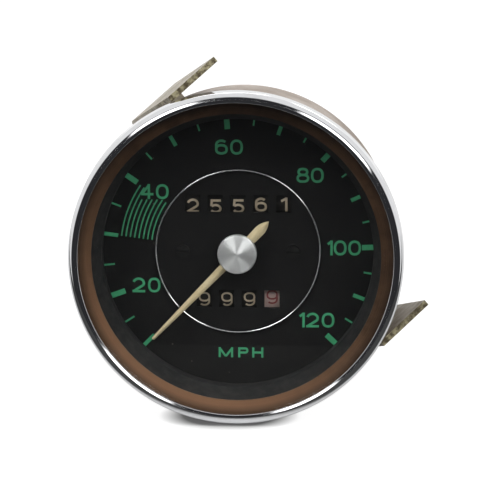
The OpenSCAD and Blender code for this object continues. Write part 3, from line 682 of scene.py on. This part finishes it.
def sweep(centre, rx, ry, start, end, count=24):
    """Elliptical arc about a centre: (rx cos t, ry sin t) with t from start to end degrees."""
    t = np.radians(np.linspace(start, end, count))
    return np.array(centre) + np.stack([rx * np.cos(t), ry * np.sin(t)], axis=-1)


def turned(profile, steps=TURN_STEPS, closed=True, groove=0.0):
    """Surface of revolution: point (r, z) at angle v becomes (r cos v, r sin v, z), r less a groove."""
    v = np.linspace(0, 2 * np.pi, steps, endpoint=False)
    r, z = profile[:, :1] - groove, profile[:, 1:]
    grid = np.stack([r * np.cos(v), r * np.sin(v), z + 0 * v], axis=-1)
    return grid.reshape(-1, 3), grid_faces(len(profile), steps, wrap_rows=closed, wrap_cols=True)


# %% bezel
BEZEL_R, _, BEZEL_FRONT = gauge_box("bezel_ring")[1]
CRIMP_IN, GLASS_IN, SEAT_IN, RABBET, BEZEL_STEPS = 3.3, 0.9, 2.9, 0.4, 360
SHEET, TUCK, REAR_EDGE, BELLY_Z, BELLY_ROUND, EDGE_ROUND = 0.6, 0.7, 0.2, 3.7, 1.6, 1.6
CREST_ROUND, CREST_IN, CREST_OUTER, CREST_INNER, LIP_ROUND = 3.0, 2.33, 70, 108, 0.2
CRIMP_R, LENS_FRONT, LENS_REAR = BEZEL_R - CRIMP_IN, BEZEL_FRONT - GLASS_IN, BEZEL_FRONT - SEAT_IN
crest_at = np.array([BEZEL_R - CREST_IN, BEZEL_FRONT - CREST_ROUND])
belly_at = np.array([BEZEL_R - BELLY_ROUND, BELLY_Z])
tuck_r = BEZEL_R - TUCK
wall_r = tuck_r - SHEET


def within_crest(radius, angle):
    """Centre of a smaller rounding that touches the crest's arc from within, at an angle in degrees."""
    return sweep(crest_at, CREST_ROUND - radius, CREST_ROUND - radius, angle, angle, 1)[0]


edge_at, lip_at = within_crest(EDGE_ROUND, CREST_OUTER), within_crest(LIP_ROUND, CREST_INNER)
flank_run = belly_at - edge_at
flank_turn = np.arccos((EDGE_ROUND - BELLY_ROUND) / np.linalg.norm(flank_run))
flank_angle = np.degrees(np.arctan2(flank_run[1], flank_run[0]) + flank_turn)
belly_start = -np.degrees(np.arccos((tuck_r - belly_at[0]) / BELLY_ROUND))
bezel_profile = np.concatenate([
    [[CRIMP_R, 0.0]],
    sweep((tuck_r - REAR_EDGE, REAR_EDGE), REAR_EDGE, REAR_EDGE, -90, 0, 5),
    sweep(belly_at, BELLY_ROUND, BELLY_ROUND, belly_start, flank_angle, 20),
    sweep(edge_at, EDGE_ROUND, EDGE_ROUND, flank_angle, CREST_OUTER, 20),
    sweep(crest_at, CREST_ROUND, CREST_ROUND, CREST_OUTER, CREST_INNER, 24)[1:],
    sweep(lip_at, LIP_ROUND, LIP_ROUND, CREST_INNER, 180, 10)[1:],
    [[lip_at[0] - LIP_ROUND, LENS_FRONT], [wall_r - RABBET, LENS_FRONT], [wall_r - RABBET, LENS_REAR],
     [wall_r, LENS_REAR], [wall_r, SHEET], [CRIMP_R, SHEET]],
])
print("bezel flank leans in by", round(float(flank_angle), 2), "degrees")
make_finer("bezel", turned(bezel_profile, BEZEL_STEPS), "case", "bezel_ring")

# %% lens
lens_low, lens_high = gauge_box("glass_lens")
LENS_CLEAR, LENS_EDGE, LENS_GAP = 0.05, 0.15, 0.03
LENS_R = lens_high[0] - LENS_CLEAR
lens_front = LENS_FRONT - LENS_GAP
lens_profile = np.array([
    [0.0, lens_low[2]], [LENS_R - LENS_EDGE, lens_low[2]], [LENS_R, lens_low[2] + LENS_EDGE],
    [LENS_R, lens_front - LENS_EDGE], [LENS_R - LENS_EDGE, lens_front], [0.0, lens_front]])
make_finer("lens", turned(lens_profile, closed=False), "case", "glass_lens")

# %% trim ring
trim_low, trim_high = gauge_box("dial_trim_ring")
DIAL_Z = trim_low[2]
TRIM_W = 0.85
TRIM_R = trim_high[0] - TRIM_W / 2
trim_profile = sweep((TRIM_R, DIAL_Z), TRIM_W / 2, trim_high[2] - DIAL_Z, 0, 180, 20)
make_finer("trim_ring", turned(trim_profile), "case", "dial_trim_ring")

# %% hub cap
hub_low, hub_high = gauge_box("needle_hub_cap")
HUB_R, HUB_TOP, HUB_FOOT = hub_high[0], hub_high[2], hub_low[2]
HUB_CONE, HUB_ROUND, HUB_EDGE, SHOULDER_END = 0.8, 0.5, 0.15, 82
FOOT_IN, FOOT_UP, TIP_R, TIP_DROP, POINT_R, POINT_DROP = 0.1, 0.01, 0.25, 0.02, 0.12, 0.004
shoulder = HUB_TOP - HUB_CONE - HUB_ROUND
cone_foot = (HUB_R - HUB_ROUND - FOOT_IN, HUB_TOP - HUB_CONE + FOOT_UP)
hub_profile = np.concatenate([
    [[0.0, HUB_FOOT], [HUB_R - HUB_EDGE, HUB_FOOT], [HUB_R, HUB_FOOT + HUB_EDGE]],
    sweep((HUB_R - HUB_ROUND, shoulder), HUB_ROUND, HUB_ROUND, 0, SHOULDER_END, 9),
    np.linspace(cone_foot, (TIP_R, HUB_TOP - TIP_DROP), 12),
    [[POINT_R, HUB_TOP - POINT_DROP], [0.0, HUB_TOP]],
])
make_finer("hub_cap", turned(hub_profile, closed=False), "pointer", "needle_hub_cap")

# %% [markdown]
# ## The pointer
#
# The pointer is pressed from thin sheet and painted cream, with a slight crown that catches the light along
# one side. It is a loft: one cross-section is carried along the blade and made wider or narrower by a few
# named stations, from the pointed tail through the hub to the blunt tip.

# %% pointer
POINTER_ANGLE = np.radians(226)
blade_low, blade_high = gauge_box("needle")
blade_stations = np.array([
    [-14.4, 0.12], [-13.9, 0.85], [-13.2, 1.70], [-12.3, 2.55], [-11.3, 3.15], [-10.2, 3.40],
    [-6.0, 3.15], [0.0, 3.00], [20.0, 2.02], [39.0, 1.06], [39.3, 0.90]])
BLADE_STEPS = 60
crown = np.array([[-1, 0.0], [0, 0.0], [1, 0.0], [1, 0.42], [0.86, 0.60], [0.45, 0.86], [0, 1.0],
                  [-0.45, 0.86], [-0.86, 0.60], [-1, 0.42]])
crown_cap = np.array([[1, 2, 3, 4], [1, 4, 5, 6], [1, 6, 7, 8], [1, 8, 9, 0]])


def lofted(stations, section, depth):
    """Section (across, up) carried along x: across times each station's half width, up times the depth."""
    along, wide = stations[:, :1], stations[:, 1:] / 2
    across = wide * section[:, 0]
    up = np.broadcast_to(depth * section[:, 1], across.shape)
    grid = np.stack([np.broadcast_to(along, across.shape), across, up], axis=-1)
    sides = grid_faces(len(stations), len(section), wrap_cols=True)
    last = (len(stations) - 1) * len(section)
    return grid.reshape(-1, 3), np.concatenate([sides, crown_cap[:, ::-1], crown_cap + last])


def turned_about_axis(points, angle):
    """Turns points about the gauge's axis."""
    c, s = np.cos(angle), np.sin(angle)
    return points @ np.array([[c, s, 0], [-s, c, 0], [0, 0, 1]])


even_along = np.linspace(blade_stations[0, 0], blade_stations[-1, 0], BLADE_STEPS)
fine_along = np.unique(np.concatenate([blade_stations[:, 0], even_along]))
fine_stations = np.stack([fine_along, np.interp(fine_along, *blade_stations.T)], axis=-1)
blade_points, blade_faces = lofted(fine_stations, crown, blade_high[2] - blade_low[2])
blade_points = turned_about_axis(blade_points, POINTER_ANGLE) + [0, 0, blade_low[2]]
make_finer("pointer_blade", (blade_points, blade_faces), "pointer", "needle")

# %% [markdown]
# ## Ink as thin ribbons
#
# Printed marks could be a picture, but a picture is tied to its pixels. Here each stroke is a ribbon: a flat
# section a few hundredths of a millimetre high, carried along the stroke's centre line. It has real edges, it
# stays sharp at any distance, and the same strokes can be laid on the flat dial or bent round a drum.

# %% ribbons
INK = 0.03
INK_STEP = 0.004
ribbon_section = np.array([[-0.5, 0.0], [0.5, 0.0], [0.5, 0.6], [0.44, 1.0], [-0.44, 1.0], [-0.5, 0.6]])
ribbon_cap = np.array([[0, 1, 2, 5], [5, 2, 3, 4]])


def ribbon(path, width, height, closed=False):
    """Section carried along a flat path: point + across * width * left normal, and up * height."""
    if closed:
        along = np.roll(path, -1, axis=0) - np.roll(path, 1, axis=0)
    else:
        along = np.gradient(path, axis=0)
    along = along / np.linalg.norm(along, axis=1, keepdims=True)
    left = np.stack([-along[:, 1], along[:, 0]], axis=-1)
    flat = path[:, None, :] + left[:, None, :] * (ribbon_section[:, 0] * width)[None, :, None]
    up = np.broadcast_to(ribbon_section[:, 1] * height, flat.shape[:2])
    points = np.concatenate([flat, up[..., None]], axis=-1).reshape(-1, 3)
    faces = grid_faces(len(path), len(ribbon_section), wrap_rows=closed, wrap_cols=True)
    if not closed:
        last = (len(path) - 1) * len(ribbon_section)
        faces = np.concatenate([faces, ribbon_cap[:, ::-1], ribbon_cap + last])
    return points, faces


def line(start, end, count=9):
    """Straight centre line between two points."""
    return np.linspace(start, end, count), False


def bow(centre, rx, ry, start, end, count=28):
    """Open elliptical centre line."""
    return sweep(centre, rx, ry, start, end, count), False


def loop(centre, rx, ry, count=48, square=2.35):
    """Closed centre line, a little squarer than an ellipse: |x / rx|^n + |y / ry|^n = 1."""
    t = np.linspace(0, 2 * np.pi, count, endpoint=False)
    c, s = np.cos(t), np.sin(t)
    round_x = rx * np.sign(c) * np.abs(c) ** (2 / square)
    round_y = ry * np.sign(s) * np.abs(s) ** (2 / square)
    return np.array(centre) + np.stack([round_x, round_y], axis=-1), True


print("a ribbon's section has", len(ribbon_section), "points")

# %% [markdown]
# ## Figures and letters
#
# The figures are plain gauge lettering of one stroke width. Each is a short list of strokes in a box of the
# given width and height, measured from its middle. Nine is six turned over, so nine lists are enough for ten.

# %% figure strokes
FIGURE_H, FIGURE_W, ONE_W, FIGURE_STROKE = 4.85, 4.1, 2.0, 0.78


def strokes_of(mark, w, h, s):
    """Centre lines of one figure or letter: w and h are its box and s is the stroke's width."""
    x, y, e = (w - s) / 2, (h - s) / 2, s / 2
    if mark == "0":
        return [loop((0, 0), x, y)]
    if mark == "1":
        return [line((x, -y - e), (x, y + e)), line((x, y + e * 0.2), (-x, y - 0.42 * y))]
    if mark == "2":
        ry = 0.285 * h
        arc = bow((0, y - ry), x, ry, 165, -32)
        return [arc, line(arc[0][-1], (-x, -y)), line((-x - e, -y), (x + e, -y))]
    if mark == "3":
        return [bow((0, 0.5 * y), 0.9 * x, 0.5 * y, 150, -85), bow((0, -0.47 * y), x, 0.53 * y, 85, -150)]
    if mark == "4":
        return [line((0.35 * x, -y - e), (0.35 * x, y + e)), line((0.35 * x, y), (-x, -0.42 * y)),
                line((-x - e * 0.6, -0.42 * y), (x + e, -0.42 * y))]
    if mark == "5":
        rb = 0.62 * y
        return [line((-0.75 * x - e, y), (0.85 * x + e, y)), line((-0.75 * x, y), (-0.86 * x, 0.05 * y)),
                bow((0, -y + rb), x, rb, 142, -150)]
    if mark == "7":
        return [line((-x - e, y), (x + e, y)), line((x, y), (-0.3 * x, -y - e))]
    if mark == "8":
        return [loop((0, 0.53 * y), 0.82 * x, 0.47 * y), loop((0, -0.47 * y), x, 0.53 * y)]
    if mark == "6":
        rb, rt = 0.64 * y, 0.66 * y
        hook = sweep((0, y - rt), x, rt, 180, 42, 28)
        return [loop((0, -y + rb), x, rb), (np.concatenate([[(-x, -y + rb)], hook]), False)]
    if mark == "9":
        return [(-path, closed) for path, closed in strokes_of("6", w, h, s)]
    if mark == "M":
        return [line((-x, -y - e), (-x, y + e)), line((x, -y - e), (x, y + e)), line((-x, y), (0, -y)),
                line((x, y), (0, -y))]
    if mark == "P":
        rb = 0.52 * y
        return [line((-x, -y - e), (-x, y + e)), line((-x, y), (x - rb, y)),
                bow((x - rb, y - rb), rb, rb, 90, -90), line((x - rb, y - 2 * rb), (-x, y - 2 * rb))]
    return [line((-x, -y - e), (-x, y + e)), line((x, -y - e), (x, y + e)), line((-x, 0), (x, 0))]


def mark_shape(mark, w, h, s, centre):
    """One figure as ribbons, each stroke a little higher than the last so that no two tops coincide."""
    strokes = strokes_of(mark, w, h, s)
    ribbons = [ribbon(path + np.array(centre), s, INK + INK_STEP * k, closed)
               for k, (path, closed) in enumerate(strokes)]
    return gather(ribbons)


def on_dial(shape):
    """Lays a flat shape (x, y, height) on the dial's face."""
    points, faces = shape
    return points + [0, 0, DIAL_Z], faces


print("an eight has", len(mark_shape("8", FIGURE_W, FIGURE_H, FIGURE_STROKE, (0, 0))[1]), "faces")

# %% [markdown]
# ## The speed scale
#
# The scale is not even: it is wider at low speed. The angles of seven marks fix it, and every other mark
# is found between them. Tens have thick or medium lines and fives have thin ones, and all run out under the
# dark surround. The eight fine arcs on the left are one family of circles, cut short above for the figures.

# %% ticks
known_speed = np.array([10, 20, 40, 60, 80, 100, 120])
known_angle = np.array([225.6, 200.0, 145.6, 94.9, 47.6, 2.3, -43.4])
TICK_END = 43.9
PRINT_OFF, PRINT_TOWARDS = 0.6, 40


def speed_angle(speed):
    """Angle on the dial, in degrees anticlockwise from the right, of a speed."""
    return np.interp(speed, known_speed, known_angle)


def tick(speed, inner, width):
    """Ribbon along the radius at a speed, from an inner radius to under the surround."""
    a = np.radians(speed_angle(speed))
    out = np.array([np.cos(a), np.sin(a)])
    return ribbon(np.linspace(inner * out, TICK_END * out, 5), width, INK)


def tick_foot(speed, base):
    """Inner end of a mark: the print sits off the middle, so the base moves by a cosine of the angle."""
    return base + PRINT_OFF * np.cos(np.radians(speed_angle(speed) - PRINT_TOWARDS))


# Speeds of a kind of mark, its inner end and its width.
tick_kinds = [
    (np.arange(20, 121, 20), 39.3, 1.75),
    (np.arange(10, 111, 20), 39.3, 1.25),
    (np.arange(15, 116, 10), 40.5, 0.58)]
ticks = [tick(speed, tick_foot(speed, base), width)
         for speeds, base, width in tick_kinds for speed in speeds]
make_piece("scale_ticks", on_dial(gather(ticks)), ink_green, "case")

# %% arcs
ARC_OUT, ARC_STEP, ARC_WIDTH, ARC_COUNT = 37.8, 1.41, 0.45, 8
ARC_LOW, ARC_HIGH, ARC_CEILING, FULL_ARCS, ARC_POINTS = 172.8, 145.8, 16.6, 2, 40
arc_shapes = []
for k in range(ARC_COUNT):
    r = ARC_OUT - ARC_STEP * k
    ceiling = 180 - np.degrees(np.arcsin(ARC_CEILING / r))
    end = ARC_HIGH if k < FULL_ARCS else max(ceiling, ARC_HIGH)
    arc_shapes.append(ribbon(sweep((0, 0), r, r, ARC_LOW, end, ARC_POINTS), ARC_WIDTH, INK))
make_piece("scale_arcs", on_dial(gather(arc_shapes)), ink_green, "case")

# %% numbers and unit letters
figures = [
    ("2", -32.06, -11.3), ("0", -27.06, -11.3), ("4", -29.2, 19.2), ("0", -24.3, 19.2), ("6", -5.29, 33.75),
    ("0", -0.46, 33.75), ("8", 20.74, 24.83), ("0", 25.34, 24.85), ("1", 29.42, 1.4), ("0", 32.79, 1.42),
    ("0", 37.42, 1.45), ("1", 20.56, -22.25), ("2", 24.06, -22.25), ("0", 29.05, -22.25)]
figure_shapes = [mark_shape(mark, ONE_W if mark == "1" else FIGURE_W, FIGURE_H, FIGURE_STROKE, (x, y))
                 for mark, x, y in figures]
make_piece("scale_numbers", on_dial(gather(figure_shapes)), ink_green, "case")

LETTER_H, LETTER_Y, LETTER_STROKE = 3.3, -33.15, 0.68
letters = [("M", -3.92, 4.68), ("P", 1.73, 3.31), ("H", 6.41, 3.59)]
letter_shapes = [mark_shape(mark, w, LETTER_H, LETTER_STROKE, (x, LETTER_Y)) for mark, x, w in letters]
make_piece("unit_letters", on_dial(gather(letter_shapes)), ink_green, "case")

# %% [markdown]
# ## Figures on the drums
#
# Each counter drum carries ten figures round its rim. A flat figure is bent round the drum by reading its
# height as an arc: the angle is the height over the radius. The next figure sits below the one that shows,
# so a forward turn rolls it up into the window. Old counters rest a few degrees out of line with each other.

# %% drum figures
DRUM_FIGURE_H, FIGURE_COUNT, ONE_SHARE = 4.6, 10, 0.62
FIGURE_TURN = 360 / FIGURE_COUNT
ODOMETER_MARK, TRIP_MARK = (3.9, 0.75), (3.7, 0.58)


def on_drum(shape, middle, radius, angle):
    """Bends a flat shape round an x axis: angle plus y / radius round it, radius plus height from it."""
    points, faces = shape
    turn = angle + points[:, 1] / radius
    away = radius + points[:, 2]
    bent = np.stack([points[:, 0], away * np.sin(turn), away * np.cos(turn)], axis=-1)
    return bent + middle, faces


def drum_figures(piece, node, body, shown, roll, ink, width, stroke):
    """All ten figures of one drum, turned so that the shown one faces the window."""
    low, high = gauge_box(node)
    middle, radius = (low + high) / 2, (high[1] - low[1]) / 2
    shapes = []
    for figure in range(FIGURE_COUNT):
        w = width * ONE_SHARE if figure == 1 else width
        flat = mark_shape(str(figure), w, DRUM_FIGURE_H, stroke, (0, 0))
        angle = np.radians(roll - FIGURE_TURN * (figure - shown))
        shapes.append(on_drum(flat, middle, radius, angle))
    make_piece(piece, gather(shapes), ink, body)


odometer_shown = [(2, -5.8), (5, -7.0), (5, -6.4), (6, -2.9), (1, -2.5)]
trip_shown = [(9, -2.9), (9, -2.9), (9, -2.4), (9, 2.0)]
for k, (shown, roll) in enumerate(odometer_shown, 1):
    drum_figures(f"odometer_digits_{k}", f"odometer_drum_{k}", f"odometer_{k}", shown, roll, ink_cream,
                 *ODOMETER_MARK)
for k, (shown, roll) in enumerate(trip_shown, 1):
    ink = ink_red if k == len(trip_shown) else ink_cream
    drum_figures(f"trip_digits_{k}", f"trip_drum_{k}", f"trip_{k}", shown, roll, ink, *TRIP_MARK)

# %% [markdown]
# ## Threads behind the can
#
# The cable connector and the two studs are threaded. A thread is a turned bar whose radius also depends on
# the angle: the phase along the bar moves on by one pitch in each turn. The groove is a triangle wave of that
# phase, flattened at crest and root, and faded out at both ends so that the bar closes smoothly.

# %% threads
THREAD_STEEP, THREAD_FLAT = 1.4, 0.2


def thread(profile, weight, pitch, depth, steps, closed):
    """Turned profile, r lowered by depth * weight * a triangle wave of z / pitch - angle / full turn."""
    v = np.linspace(0, 2 * np.pi, steps, endpoint=False)
    phase = (profile[:, 1:] / pitch - v / (2 * np.pi)) % 1.0
    wave = np.clip(THREAD_STEEP * (1 - np.abs(2 * phase - 1)) - THREAD_FLAT, 0, 1)
    return turned(profile, steps, closed, depth * weight[:, None] * wave)


def thread_run(radius, low, high, pitch, per_pitch=8):
    """Points (r, z) up a threaded run, and the thread's weight, faded over one pitch at both ends."""
    z = np.linspace(low, high, int((high - low) / pitch * per_pitch))
    return np.stack([radius + 0 * z, z], axis=-1), np.clip(np.minimum(z - low, high - z) / pitch, 0, 1)


def plain_and_threaded(before, run, after):
    """Joins plain profile points to a threaded run, with no thread on the plain ones."""
    points, weight = run
    profile = np.concatenate([before, points, after])
    return profile, np.concatenate([np.zeros(len(before)), weight, np.zeros(len(after))])


# %% cable connector
socket_low, socket_high = gauge_box("cable_connector")
FLANGE_R, CABLE_R, BORE_R, SPIGOT_R = socket_high[0], 9.0, 4.77, 6.37
FLANGE_T, GROOVE_W, GROOVE_D, CABLE_CHAMFER = 2.5, 1.0, 0.8, 0.9
CABLE_PITCH, CABLE_DEPTH, CABLE_STEPS = 1.5, 0.75, 144
BORE_EDGE, FLANGE_EDGE, SEAT_EDGE = 0.3, 0.3, 0.2
can_back = gauge_box("case_can")[0][2]
flange_rear = can_back - FLANGE_T
rear = socket_low[2]
connector_profile, connector_weight = plain_and_threaded(
    [[BORE_R, rear + BORE_EDGE], [BORE_R + BORE_EDGE, rear], [CABLE_R - CABLE_CHAMFER, rear]],
    thread_run(CABLE_R, rear + CABLE_CHAMFER, flange_rear - GROOVE_W, CABLE_PITCH),
    [[CABLE_R - GROOVE_D, flange_rear - GROOVE_W], [CABLE_R - GROOVE_D, flange_rear],
     [FLANGE_R - FLANGE_EDGE, flange_rear], [FLANGE_R, flange_rear + FLANGE_EDGE],
     [FLANGE_R, can_back - SEAT_EDGE], [FLANGE_R - SEAT_EDGE, can_back], [SPIGOT_R, can_back],
     [SPIGOT_R, socket_high[2]], [BORE_R, socket_high[2]]])
connector = thread(connector_profile, connector_weight, CABLE_PITCH, CABLE_DEPTH, CABLE_STEPS, True)
make_finer("connector", connector, "case", "cable_connector")

# %% studs
stud_low, stud_high = gauge_box("mounting_studs")
STUD_R, STUD_PITCH, STUD_DEPTH, STUD_CHAMFER = 2.5, 0.8, 0.38, 0.45
COLLAR_R, COLLAR_H, COLLAR_EDGE, COLLAR_SIDES, STUD_STEPS = 4.6, 3.0, 0.3, 6, 40
stud_profile, stud_weight = plain_and_threaded(
    [[0.0, stud_low[2]], [STUD_R - STUD_CHAMFER, stud_low[2]]],
    thread_run(STUD_R, stud_low[2] + STUD_CHAMFER, can_back - COLLAR_H, STUD_PITCH),
    [[STUD_R, stud_high[2]], [0.0, stud_high[2]]])
collar_profile = np.array([
    [0.0, can_back - COLLAR_H], [COLLAR_R - COLLAR_EDGE, can_back - COLLAR_H],
    [COLLAR_R, can_back - COLLAR_H + COLLAR_EDGE], [COLLAR_R, can_back], [0.0, can_back]])
stud = thread(stud_profile, stud_weight, STUD_PITCH, STUD_DEPTH, STUD_STEPS, False)
stud_shapes = []
for nut in ("nut_upper", "nut_lower"):
    at = sum(gauge_box(nut)) / 2 * [1, 1, 0]
    collar_points, collar_faces = turned(collar_profile, COLLAR_SIDES, closed=False)
    collar_points = turned_about_axis(collar_points, np.arctan2(at[1], at[0]))
    stud_shapes += [(stud[0] + at, stud[1]), (collar_points + at, collar_faces)]
make_finer("studs", gather(stud_shapes), "case", "mounting_studs")

# %% [markdown]
# ## Floor, light and world
#
# The gauge stands on a white table in soft studio light. Two wide suns above it, left and right, light what
# is painted, and mirrors don't see them. What a mirror sees is the world: white at the sides and above, dark
# in front, where the room behind the camera would be, and two box lights between. The dark keeps the glass
# clear and draws the dark line in the chrome. The boxes draw the bars in that line and the two wedges on the
# hub. So the table goes dark just in front of the gauge, for every ray but the camera's. For the camera it
# gives light of its own, so it shows white, and round the rim's contact that glow is dimmed: a painted shadow.

# %% floor
FLOOR_SIDE, FLOOR_BACK, FLOOR_FRONT = 8.0, 9.0, -0.13
FLOOR_GAP = 0.0002
SHADE_REACH, SHADE_DEPTH = 0.016, (0.90, 0.45)
SHADE_MIDDLE, SHADE_SIZE, SHADE_SOFT = (-0.0025, 0.004, 0.0), 0.020, (1.15, 0.75)
ROOM_STARTS = (-0.0115, -0.024)
TABLE_WHITE, TABLE_DARK, TABLE_SEEN = ((tone, tone, tone, 1) for tone in (0.80, 0.07, 0.15))
GLOW_OPEN, GLOW_SHADED = 0.95, 0.10
floor_level = cad_low[2] - FLOOR_GAP
floor_mesh = bpy.data.meshes.new("floor")
floor_corners = [[-FLOOR_SIDE, FLOOR_FRONT, floor_level], [FLOOR_SIDE, FLOOR_FRONT, floor_level],
                 [FLOOR_SIDE, FLOOR_BACK, floor_level], [-FLOOR_SIDE, FLOOR_BACK, floor_level]]
floor_mesh.from_pydata(floor_corners, [], [[0, 1, 2, 3]])
floor = bpy.data.objects.new("floor", floor_mesh)
bpy.context.scene.collection.objects.link(floor)

floor_paint, floor_tree, floor_inputs = plain_material("floor_paint", 0.9)
floor_inputs["Specular IOR Level"].default_value = 0.0
floor_inputs["Emission Color"].default_value = (1, 1, 1, 1)
seen = put(floor_tree, "LightPath").outputs["Is Camera Ray"]
floor_place = place_on(floor_tree)
level = vector(floor_tree, "MULTIPLY", floor_place, (1, 1, 0))
aside = reckon(floor_tree, "DIVIDE", measure(floor_tree, "DISTANCE", level, SHADE_MIDDLE), SHADE_SIZE)
open_sky = put(floor_tree, "AmbientOcclusion", {"Distance": SHADE_REACH}, samples=32).outputs["AO"]
covered, under = between(floor_tree, open_sky, *SHADE_DEPTH), between(floor_tree, aside, *SHADE_SOFT)
# Painted shadow: where occlusion is high inside an oval round the contact, the glow the camera sees is dimmed.
painted_contact_shadow = reckon(floor_tree, "MULTIPLY", covered, under)
forward = put(floor_tree, "SeparateXYZ", {0: floor_place}).outputs["Y"]
into_room = between(floor_tree, forward, *ROOM_STARTS)
table = blend_colour(floor_tree, into_room, TABLE_WHITE, TABLE_DARK)
table = blend_colour(floor_tree, seen, table, TABLE_SEEN)
floor_tree.links.new(table, floor_inputs["Base Color"])
own_light = between(floor_tree, painted_contact_shadow, 0.0, 1.0, GLOW_OPEN, GLOW_SHADED)
own_light = reckon(floor_tree, "MULTIPLY", seen, own_light)
floor_tree.links.new(own_light, floor_inputs["Emission Strength"])
floor_mesh.materials.append(floor_paint)
print("floor at", round(floor_level, 5), "m")

# %% suns
SUN_SPREAD = np.radians(40)
SUNS = {"soft_left": ((-0.50, 0.745, 0.44), 1.75), "soft_right": ((0.62, 0.645, 0.44), 1.70)}


def add_sun(name, place, strength):
    """A sun that shines from a direction given in the gauge's axes."""
    lamp = bpy.data.lights.new(name, "SUN")
    lamp.energy = strength
    lamp.angle = SUN_SPREAD
    sun = bpy.data.objects.new(name, lamp)
    direction = Vector(to_scene(np.array(place))).normalized()
    sun.rotation_euler = direction.to_track_quat("Z", "Y").to_euler()
    sun.visible_glossy = False
    bpy.context.scene.collection.objects.link(sun)
    print(name, "shines with", strength)


for name, (place, strength) in SUNS.items():
    add_sun(name, place, strength)

# %% world
AMBIENT = 0.34
WHITE = (1, 1, 1, 1)
DARK_ROOM, ROOM_EDGE = (0.02, 0.02, 0.022, 1), (0.30, 0.45)
DARK_SCREEN, SCREEN_EDGE = (0.03, 0.03, 0.033, 1), (0.72, 0.80)
AHEAD, AHEAD_AND_DOWN = (0, -1, 0), (0, -0.975, -0.222)
MIRROR_RIGHT = np.array([0.998, -0.055, 0.0])
MIRROR_UP = np.array([-0.010, -0.174, 0.985])
BOX_STRENGTH = 4.6
BOX_NEAR, BOX_FAR, BOX_BLUR = (0.06, 0.14), (0.52, 0.44), 3
BOXES = ((50, 14.5), (117.5, 11.5))
world = bpy.data.worlds.new("studio")
bpy.context.scene.world = world
world.use_nodes = True
sky = world.node_tree
sky.nodes.clear()
look = put(sky, "TexCoord").outputs["Generated"]


def towards(direction):
    """How far a ray looks in a direction: the dot product of the two."""
    return measure(sky, "DOT_PRODUCT", look, direction)


def soft_box(angle, spread):
    """Share of a long box light that points out from the mirror's axis at an angle, with a spread."""
    c, s = np.cos(np.radians(angle)), np.sin(np.radians(angle))
    out = towards(c * MIRROR_RIGHT + s * MIRROR_UP)
    across = reckon(sky, "ABSOLUTE", towards(c * MIRROR_UP - s * MIRROR_RIGHT))
    slant = reckon(sky, "DIVIDE", across, out)
    wide = between(sky, slant, *np.tan(np.radians([spread + BOX_BLUR, spread - BOX_BLUR])))
    starts, ends = between(sky, out, *BOX_NEAR), between(sky, out, *BOX_FAR)
    return reckon(sky, "MULTIPLY", reckon(sky, "MULTIPLY", starts, ends), wide)


walls = blend_colour(sky, between(sky, towards(AHEAD), *ROOM_EDGE), WHITE, DARK_ROOM)
screens = blend_colour(sky, between(sky, towards(AHEAD_AND_DOWN), *SCREEN_EDGE), WHITE, DARK_SCREEN)
box_tone = (BOX_STRENGTH, BOX_STRENGTH, BOX_STRENGTH, 1)
for angle, spread in BOXES:
    screens = blend_colour(sky, soft_box(angle, spread), screens, box_tone)
ray = put(sky, "LightPath").outputs
ambient = put(sky, "Background", {0: walls, 1: AMBIENT}).outputs[0]
mirrored = put(sky, "Background", {0: screens, 1: 1.0}).outputs[0]
white = put(sky, "Background", {0: WHITE, 1: 1.0}).outputs[0]
off_mirror = between(sky, ray["Glossy Depth"], 0.0, 1.0)
off_paint = between(sky, ray["Diffuse Depth"], 0.0, 1.0)
straight = put(sky, "MixShader", {0: off_mirror, 1: white, 2: mirrored}).outputs[0]
whole = put(sky, "MixShader", {0: off_paint, 1: straight, 2: ambient}).outputs[0]
sky.links.new(whole, put(sky, "OutputWorld").inputs[0])
bpy.context.scene.view_settings.view_transform = "Standard"
print("world set")

# %% [markdown]
# ## Camera
#
# The rings of the gauge are circles on the real thing and slim ellipses in the picture. Their shapes and the
# way their centres drift with depth give the camera's angle: ten degrees above the axis and three to the
# right. A long lens keeps the rings nearly true, and a small shift puts the gauge where it lies in the frame.

# %% camera
CAMERA_FAR, CAMERA_UP, CAMERA_RIGHT = 800.0, np.radians(10.055), np.radians(3.168)
SENSOR, LENS_LENGTH, SHIFT_X, SHIFT_Y = 36.0, 180.87, 0.02643, 0.01631
camera_data = bpy.data.cameras.new("camera")
camera_data.sensor_fit = "HORIZONTAL"
camera_data.sensor_width = SENSOR
camera_data.lens = LENS_LENGTH
camera_data.shift_x = SHIFT_X
camera_data.shift_y = SHIFT_Y
camera = bpy.data.objects.new("camera", camera_data)
camera_at = CAMERA_FAR * np.array([np.sin(CAMERA_RIGHT) * np.cos(CAMERA_UP), np.sin(CAMERA_UP),
                                   np.cos(CAMERA_RIGHT) * np.cos(CAMERA_UP)])
camera.location = to_scene(camera_at)
camera.rotation_euler = (-camera.location).to_track_quat("-Z", "Y").to_euler()
bpy.context.scene.collection.objects.link(camera)
bpy.context.scene.camera = camera
print("camera at", *(round(value, 4) for value in camera.location))

# %% [markdown]
#
# The box of the solids is printed.

# %% sizes and finish
print("cad box", list(cad_low), list(cad_high))
